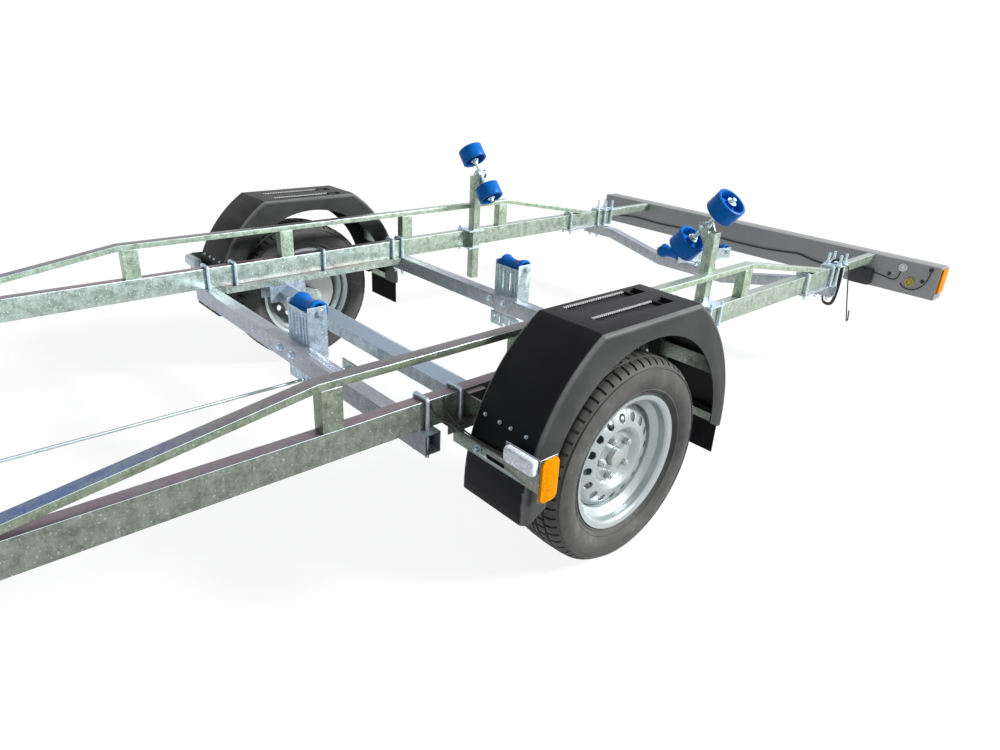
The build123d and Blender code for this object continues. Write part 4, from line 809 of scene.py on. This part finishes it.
tab_back = 0.052
tab_z = 0.351
tab_size = (0.004, 0.170, 0.058)
punch_length = 0.02
tab_punches = (
    (-0.063, 0.358, 0.008, 0.008), (-0.030, 0.349, 0.007, 0.028), (0.000, 0.326, 0.020, 0.026),
    (0.030, 0.349, 0.007, 0.028), (0.063, 0.358, 0.008, 0.008),
)
for name, face_x in bar_face.items():
    tab = block((face_x - tab_back, 0, tab_z), tab_size)
    tab.name = f"bracket_tab_{name}"
    for y, z, width, height in tab_punches:
        punch = block((face_x - tab_back, y, z), (punch_length, width, height))
        round_off(punch, 0.0025, 3)
        cut(tab, punch)
    round_off(tab, 0.0008)
    settle(tab, bracket_zinc, "frame")

# --- Light board ----------------------------------------------------------------------------
# Folded zinc-coated sheet across the back, dull grey, on two extension tubes. A moulded cable
# box and the lamps' sockets sit on its front face.
board_steel, board_shader = finish("board_steel", 0.55, 0.35)
board_place = place_node(board_steel)
board_cloud = noise_node(board_steel, board_place, 4.0, 6.0)
board_grain = noise_node(board_steel, board_place, 320.0, 3.0)
wear(
    board_steel,
    board_shader,
    mix_node(board_steel, board_cloud, (0.225, 0.229, 0.232), (0.300, 0.305, 0.308)),
    spread_node(board_steel, board_grain, 0.42, 0.6),
)
relief(board_steel, board_shader, board_grain, 0.2, 0.0004)
formed(board_steel, "galvanised", 0.0009, "light_board")
black_plastic = clouded("black_plastic", 0.4, (0.012, 0.012, 0.016), (0.03, 0.03, 0.036), 60.0)[0]
formed(black_plastic, "cable_black", 0.003, "cable_box")
socket_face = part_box("cable_box")[0].x
lip_width, well_depth = 0.28, 0.55
groove_width, middle_rise = 0.22, 0.35
white_plastic = clouded("white_plastic", 0.4, (0.62, 0.64, 0.70), (0.78, 0.80, 0.84), 60.0)[0]
yellow_plastic = clouded("yellow_plastic", 0.42, (0.42, 0.33, 0.05), (0.56, 0.46, 0.09), 60.0)[0]


def socket(name, y, z, radius, depth, material):
    """Round moulded socket with a raised lip and a sunk middle, on the board's front face. Its
    lip, well and middle are shares of its radius and depth."""
    bpy.ops.object.select_all(action="DESELECT")
    bpy.ops.mesh.primitive_cylinder_add(
        vertices=40,
        radius=radius,
        depth=depth,
        location=(socket_face + depth / 2, y, z),
        rotation=(0, math.pi / 2, 0),
    )
    piece = bpy.context.object
    piece.name = name
    bpy.ops.object.transform_apply(location=True, rotation=True)
    edit(piece, lambda face: face.normal.x > 0.9)
    for width, rise in ((lip_width, -well_depth), (groove_width, middle_rise)):
        bpy.ops.mesh.inset(thickness=radius * width)
        bpy.ops.mesh.extrude_region_move(TRANSFORM_OT_translate={"value": (depth * rise, 0, 0)})
    round_off(piece, radius * 0.05)
    settle(piece, material, "frame")


for name, y, z, radius, depth, material in (
    ("lamp_socket_white", 0.880, 0.518, 0.020, 0.012, white_plastic),
    ("lamp_socket_yellow", 0.927, 0.455, 0.021, 0.014, yellow_plastic),
    ("board_grommet", 1.006, 0.534, 0.010, 0.007, black_plastic),
    ("board_plug_inner", 0.823, 0.472, 0.009, 0.006, black_plastic),
    ("board_plug_outer", 0.980, 0.470, 0.009, 0.006, black_plastic),
):
    socket(name, y, z, radius, depth, material)

# --- Lamps and reflectors -------------------------------------------------------------------
# Red lamp lenses, amber prism reflectors and the markers' white front lenses, all moulded
# acrylic, and the slotted brackets that carry the markers with a clip each.
lamp_red = clouded("lamp_red", 0.18, (0.35, 0.006, 0.006), (0.5, 0.012, 0.01), 300.0)[0]
formed(lamp_red, "lamp_red", 0.004, "rear_lamps", segments=3)
amber, amber_shader = finish("amber_reflector", 0.25)
amber_shader.inputs["Specular IOR Level"].default_value = 0.02
amber_cells = cell_node(amber, place_node(amber), 260.0)
wear(amber, amber_shader, mix_node(amber, amber_cells, (0.52, 0.165, 0.0), (0.66, 0.25, 0.0005)))
formed(amber, "amber", 0.003, "amber_reflectors", segments=3)

lens_clear, lens_shader = finish("marker_lens", 0.22)
lens_cells = cell_node(lens_clear, place_node(lens_clear), 220.0)
lens_tone = mix_node(lens_clear, lens_cells, (0.50, 0.55, 0.62), (0.80, 0.85, 0.90))
wear(lens_clear, lens_shader, lens_tone)
marker_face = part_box("marker_brackets")[1].x
marker_skin = formed(zinc, "galvanised", 0.0012, "marker_brackets")[0]
slot_y, slot_z = 0.9285, 0.4405
slot_size = (0.020, 0.071, 0.013)
marker_round = 0.006
for sign in (-1, 1):
    slot_cutter = block((marker_face, sign * slot_y, slot_z), slot_size)
    round_off(slot_cutter, marker_round, 4)
    cut(marker_skin, slot_cutter)
lens_y, lens_z = 1.029, 0.496
lens_size = (0.022, 0.104, 0.042)
lens_crown = 0.003
clip_y, clip_z = 0.862, 0.446
for side, sign in both_sides:
    lens = block((marker_face + lens_size[0] / 2, sign * lens_y, lens_z), lens_size)
    lens.name = f"marker_lens_{side}"
    edit(lens, lambda face: face.normal.x > 0.9)
    bpy.ops.mesh.inset(thickness=marker_round)
    bpy.ops.transform.translate(value=(lens_crown, 0, 0))
    round_off(lens, marker_round, 4)
    settle(lens, lens_clear, "frame")
    clip_seat = (marker_face, sign * clip_y, clip_z)
    bolted(f"marker_clip_{side}", [clip_seat], (1, 0, 0), across=0.014, height=0.010, washer=0.013)

# --- Winch, bow post and strap --------------------------------------------------------------
# Pressed and plated winch frame bolted to the bow post, its drum and crank in one, and woven
# webbing wound on the drum.
formed(plate_zinc, "bright_zinc", 0.0012, "winch_frame", "winch_drum")
webbing, webbing_shader = finish("strap_webbing", 0.85)
weave = noise_node(webbing, place_node(webbing), 600.0)
wear(webbing, webbing_shader, mix_node(webbing, weave, (0.02, 0.02, 0.022), (0.06, 0.06, 0.065)))
relief(webbing, webbing_shader, weave, 0.5, 0.0006)
dress(webbing, "winch_strap")

# --- Drawbar head and jockey wheel ----------------------------------------------------------
# Galvanised overrun housing, cast coupling with its handle, and the jockey wheel's tube, stem
# and fork, which a clamp holds beside the drawbar.
formed(zinc, "galvanised", 0.003, "overrun_housing")
formed(plate_zinc, "bright_zinc", 0.0025, "coupling", "coupling_handle")
formed(plate_zinc, "bright_zinc", 0.0012, "jockey_stem", "jockey_fork")
formed(zinc, "galvanised", 0.0012, "jockey_tube")

# --- Cords ----------------------------------------------------------------------------------
# Black jacketed cables: along the board, between its sockets, hung on the rail as a coil, a
# string with a folded end, and the two leads of the left marker.
cable_jacket = clouded("cable_jacket", 0.45, (0.008, 0.008, 0.009), (0.022, 0.021, 0.020), 90.0)[0]


def spline_cord(name, points, radius, node):
    """A round cord on a smooth line along its route, whose points are in millimetres, with x from
    the axle."""
    route = [(axle_x + x / 1000, y / 1000, z / 1000) for x, y, z in points]
    curve = bpy.data.curves.new(name, "CURVE")
    curve.dimensions = "3D"
    curve.bevel_depth = radius
    curve.bevel_resolution = 4
    curve.resolution_u = 8
    curve.use_fill_caps = True
    line = curve.splines.new("NURBS")
    line.points.add(len(route) - 1)
    for point, place in zip(line.points, route):
        point.co = (*place, 1)
    line.order_u = 3
    line.use_endpoint_u = True
    piece = link(name, curve)
    curve.materials.append(cable_jacket)
    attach(piece, "frame")
    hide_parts(node)
    bpy.context.view_layer.update()
    bare = curve.copy()
    bare.bevel_depth = 0
    probe = link("probe", bare)
    bpy.context.view_layer.update()
    line_mesh = bpy.data.meshes.new_from_object(probe)
    bpy.data.objects.remove(probe)


cable_radius = 0.0045
cord_radius = 0.003
wire_radius = 0.0025
board_line_x = (socket_face - axle_x) * 1000
board_gap = 0.5
board_cable = [
    (-915, 438), (-820, 451), (-700, 448), (-575, 443.5), (-450, 450), (-325, 448), (-200, 449),
    (-80, 445), (20, 444.5), (120, 446), (215, 452), (285, 459), (330, 465), (375, 459), (425, 447),
    (490, 443), (565, 446), (646, 439),
]
lamp_wire = [
    (752, 461), (785, 456), (812, 452), (836, 447), (856, 449), (868, 464), (871, 486), (876, 506),
]
side_wire = [
    (884, 440), (893, 426), (914, 418), (940, 417), (965, 427), (985, 446), (998, 470),
    (1005, 498), (1007, 526),
]
for name, route, radius in (
    ("board_cable", board_cable, cable_radius),
    ("lamp_wire", lamp_wire, wire_radius),
    ("side_wire", side_wire, wire_radius),
):
    x = board_line_x + radius * 1000 + board_gap
    spline_cord(name + "_line", [(x, y, z) for y, z in route], radius, name)
string_route = [
    (-1974, 712, 557), (-1979, 727, 559), (-1985, 740, 553), (-1991, 745, 539), (-2001, 748, 516),
    (-2010, 750, 488), (-2019, 752, 456), (-2030, 755, 420), (-2042, 757, 383), (-2052, 761, 345),
    (-2065, 763, 309), (-2075, 765, 284), (-2080, 766, 266), (-2084, 767, 253), (-2091, 768, 250),
    (-2098, 768, 255), (-2098, 767, 266), (-2093, 767, 284), (-2088, 766, 305),
]
spline_cord("hanging_string_line", string_route, cord_radius, "hanging_string")
front_wire = [
    (499, 738.5, 552), (494, 739, 528), (480, 741, 508), (462, 748, 489), (446, 766, 476),
    (439, 790, 468), (437, 825, 466.5), (437.5, 870, 465.5), (437, 920, 466.5), (435, 960, 470),
]
rear_wire = [
    (455, 738.5, 552), (450, 739, 530), (445, 741, 510), (440, 750, 492), (434, 768, 480),
    (431, 792, 472), (430.5, 824, 467), (431, 868, 466), (431, 915, 467), (430, 958, 471),
]
spline_cord("marker_wire_front_line", front_wire, wire_radius, "marker_wire_front")
spline_cord("marker_wire_rear_line", rear_wire, wire_radius, "marker_wire_rear")

coil_low, coil_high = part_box("cable_coil")
coil_middle = (coil_low + coil_high) / 2
coil_steps = 14
coil_power = 0.45
coil_points = []
coil_shapes = (
    (0.5, 0.041, 0.117, 0.000),
    (0.1, 0.032, 0.103, 0.010),
    (0.9, 0.0285, 0.112, -0.004),
    (0.3, 0.037, 0.098, 0.006),
    (0.7, 0.030, 0.108, -0.002),
)
for now, after in zip(coil_shapes, [*coil_shapes[1:], coil_shapes[-1]]):
    for step in range(coil_steps):
        angle = 2 * math.pi * step / coil_steps
        part_way = step / coil_steps
        lane, half_y, half_z, drop = (
            first * (1 - part_way) + second * part_way for first, second in zip(now, after)
        )
        squared = math.copysign(abs(math.sin(angle)) ** coil_power, math.sin(angle))
        x = coil_low.x + cord_radius + (coil_high.x - coil_low.x - 2 * cord_radius) * lane
        y = coil_middle.y + half_y * squared
        z = coil_middle.z - drop + half_z * math.cos(angle)
        coil_points.append(((x - axle_x) * 1000, y * 1000, z * 1000))
spline_cord("cable_coil_turns", coil_points, cord_radius, "cable_coil")

# --- Stage, lights and camera ---------------------------------------------------------------
# A pale seamless floor that camera and mirror rays see as white where no shadow falls, a broad
# sun from the trailer's left rear, a faint fill from its front left and a dim dome.
bpy.ops.object.select_all(action="DESELECT")
bpy.ops.mesh.primitive_plane_add(size=60, location=(0, 0, 0))
floor = bpy.context.object
floor.name = "studio_floor"
floor_paint, floor_shader = finish("floor_paint", 0.9)
floor_shader.inputs["Base Color"].default_value = (0.62, 0.62, 0.62, 1)


def seen_rays(tree):
    """1 for camera, mirror and glass rays, 0 for the light that falls on the object."""
    rays = tree.nodes.new("ShaderNodeLightPath")
    total = rays.outputs["Is Camera Ray"]
    for extra in ("Is Glossy Ray", "Is Transmission Ray"):
        add = tree.nodes.new("ShaderNodeMath")
        add.operation = "ADD"
        add.use_clamp = True
        tree.links.new(total, add.inputs[0])
        tree.links.new(rays.outputs[extra], add.inputs[1])
        total = add.outputs[0]
    return total


floor_tree = floor_paint.node_tree
glow = floor_tree.nodes.new("ShaderNodeEmission")
glow.inputs["Color"].default_value = (1, 1, 1, 1)
glow.inputs["Strength"].default_value = 1.1
blend = floor_tree.nodes.new("ShaderNodeMixShader")
share = floor_tree.nodes.new("ShaderNodeMath")
share.operation = "MULTIPLY"
share.inputs[1].default_value = 0.8
floor_tree.links.new(seen_rays(floor_tree), share.inputs[0])
floor_tree.links.new(share.outputs[0], blend.inputs[0])
floor_tree.links.new(floor_shader.outputs[0], blend.inputs[1])
floor_tree.links.new(glow.outputs[0], blend.inputs[2])
floor_output = next(node for node in floor_tree.nodes if node.type == "OUTPUT_MATERIAL")
floor_tree.links.new(blend.outputs[0], floor_output.inputs["Surface"])
floor.data.materials.append(floor_paint)

world = bpy.data.worlds.new("studio")
world.use_nodes = True
sky_tree = world.node_tree
dome = sky_tree.nodes["Background"]
dome.inputs["Color"].default_value = (0.92, 0.96, 1, 1)
dome.inputs["Strength"].default_value = 0.38
backdrop = sky_tree.nodes.new("ShaderNodeBackground")
backdrop.inputs["Color"].default_value = (1, 1, 1, 1)
backdrop.inputs["Strength"].default_value = 1.0
sky_blend = sky_tree.nodes.new("ShaderNodeMixShader")
sky_tree.links.new(seen_rays(sky_tree), sky_blend.inputs[0])
sky_tree.links.new(dome.outputs[0], sky_blend.inputs[1])
sky_tree.links.new(backdrop.outputs[0], sky_blend.inputs[2])
sky_output = next(node for node in sky_tree.nodes if node.type == "OUTPUT_WORLD")
sky_tree.links.new(sky_blend.outputs[0], sky_output.inputs["Surface"])
bpy.context.scene.world = world

aim = Vector((axle_x, 0, 0.4))
for name, kind, place, energy, size in (
    ("key", "SUN", (-4.20, 3.30, 3.05), 5.8, 0.22),
    ("fill", "AREA", (4.5, 4.0, 4.5), 40.0, 4.0),
):
    lamp = bpy.data.lights.new(name, kind)
    lamp.energy = energy
    if kind == "SUN":
        lamp.angle = size
    else:
        lamp.size = size
    lamp_object = link(name, lamp)
    lamp_object.location = place
    towards = aim - Vector(place)
    lamp_object.rotation_euler = towards.to_track_quat("-Z", "Y").to_euler()

yaw, pitch, roll = (math.radians(angle) for angle in (-133.442, -24.366, 3.291))
ahead = Vector((math.cos(pitch) * math.cos(yaw), math.cos(pitch) * math.sin(yaw), math.sin(pitch)))
level = ahead.cross(Vector((0, 0, 1))).normalized()
upright = level.cross(ahead)
right = math.cos(roll) * level + math.sin(roll) * upright
up = math.cos(roll) * upright - math.sin(roll) * level
camera_data = bpy.data.cameras.new("camera")
camera_data.sensor_width = 36.0
camera_data.lens = 25.548
camera_data.clip_end = 200.0
camera_place = (axle_x + 1.50062, 2.05296, 1.38292)
camera_turn = Matrix((right, up, -ahead)).transposed().to_4x4()
camera = link("camera", camera_data)
camera.matrix_world = Matrix.Translation(camera_place) @ camera_turn
bpy.context.scene.camera = camera
bpy.context.scene.view_settings.view_transform = "Standard"
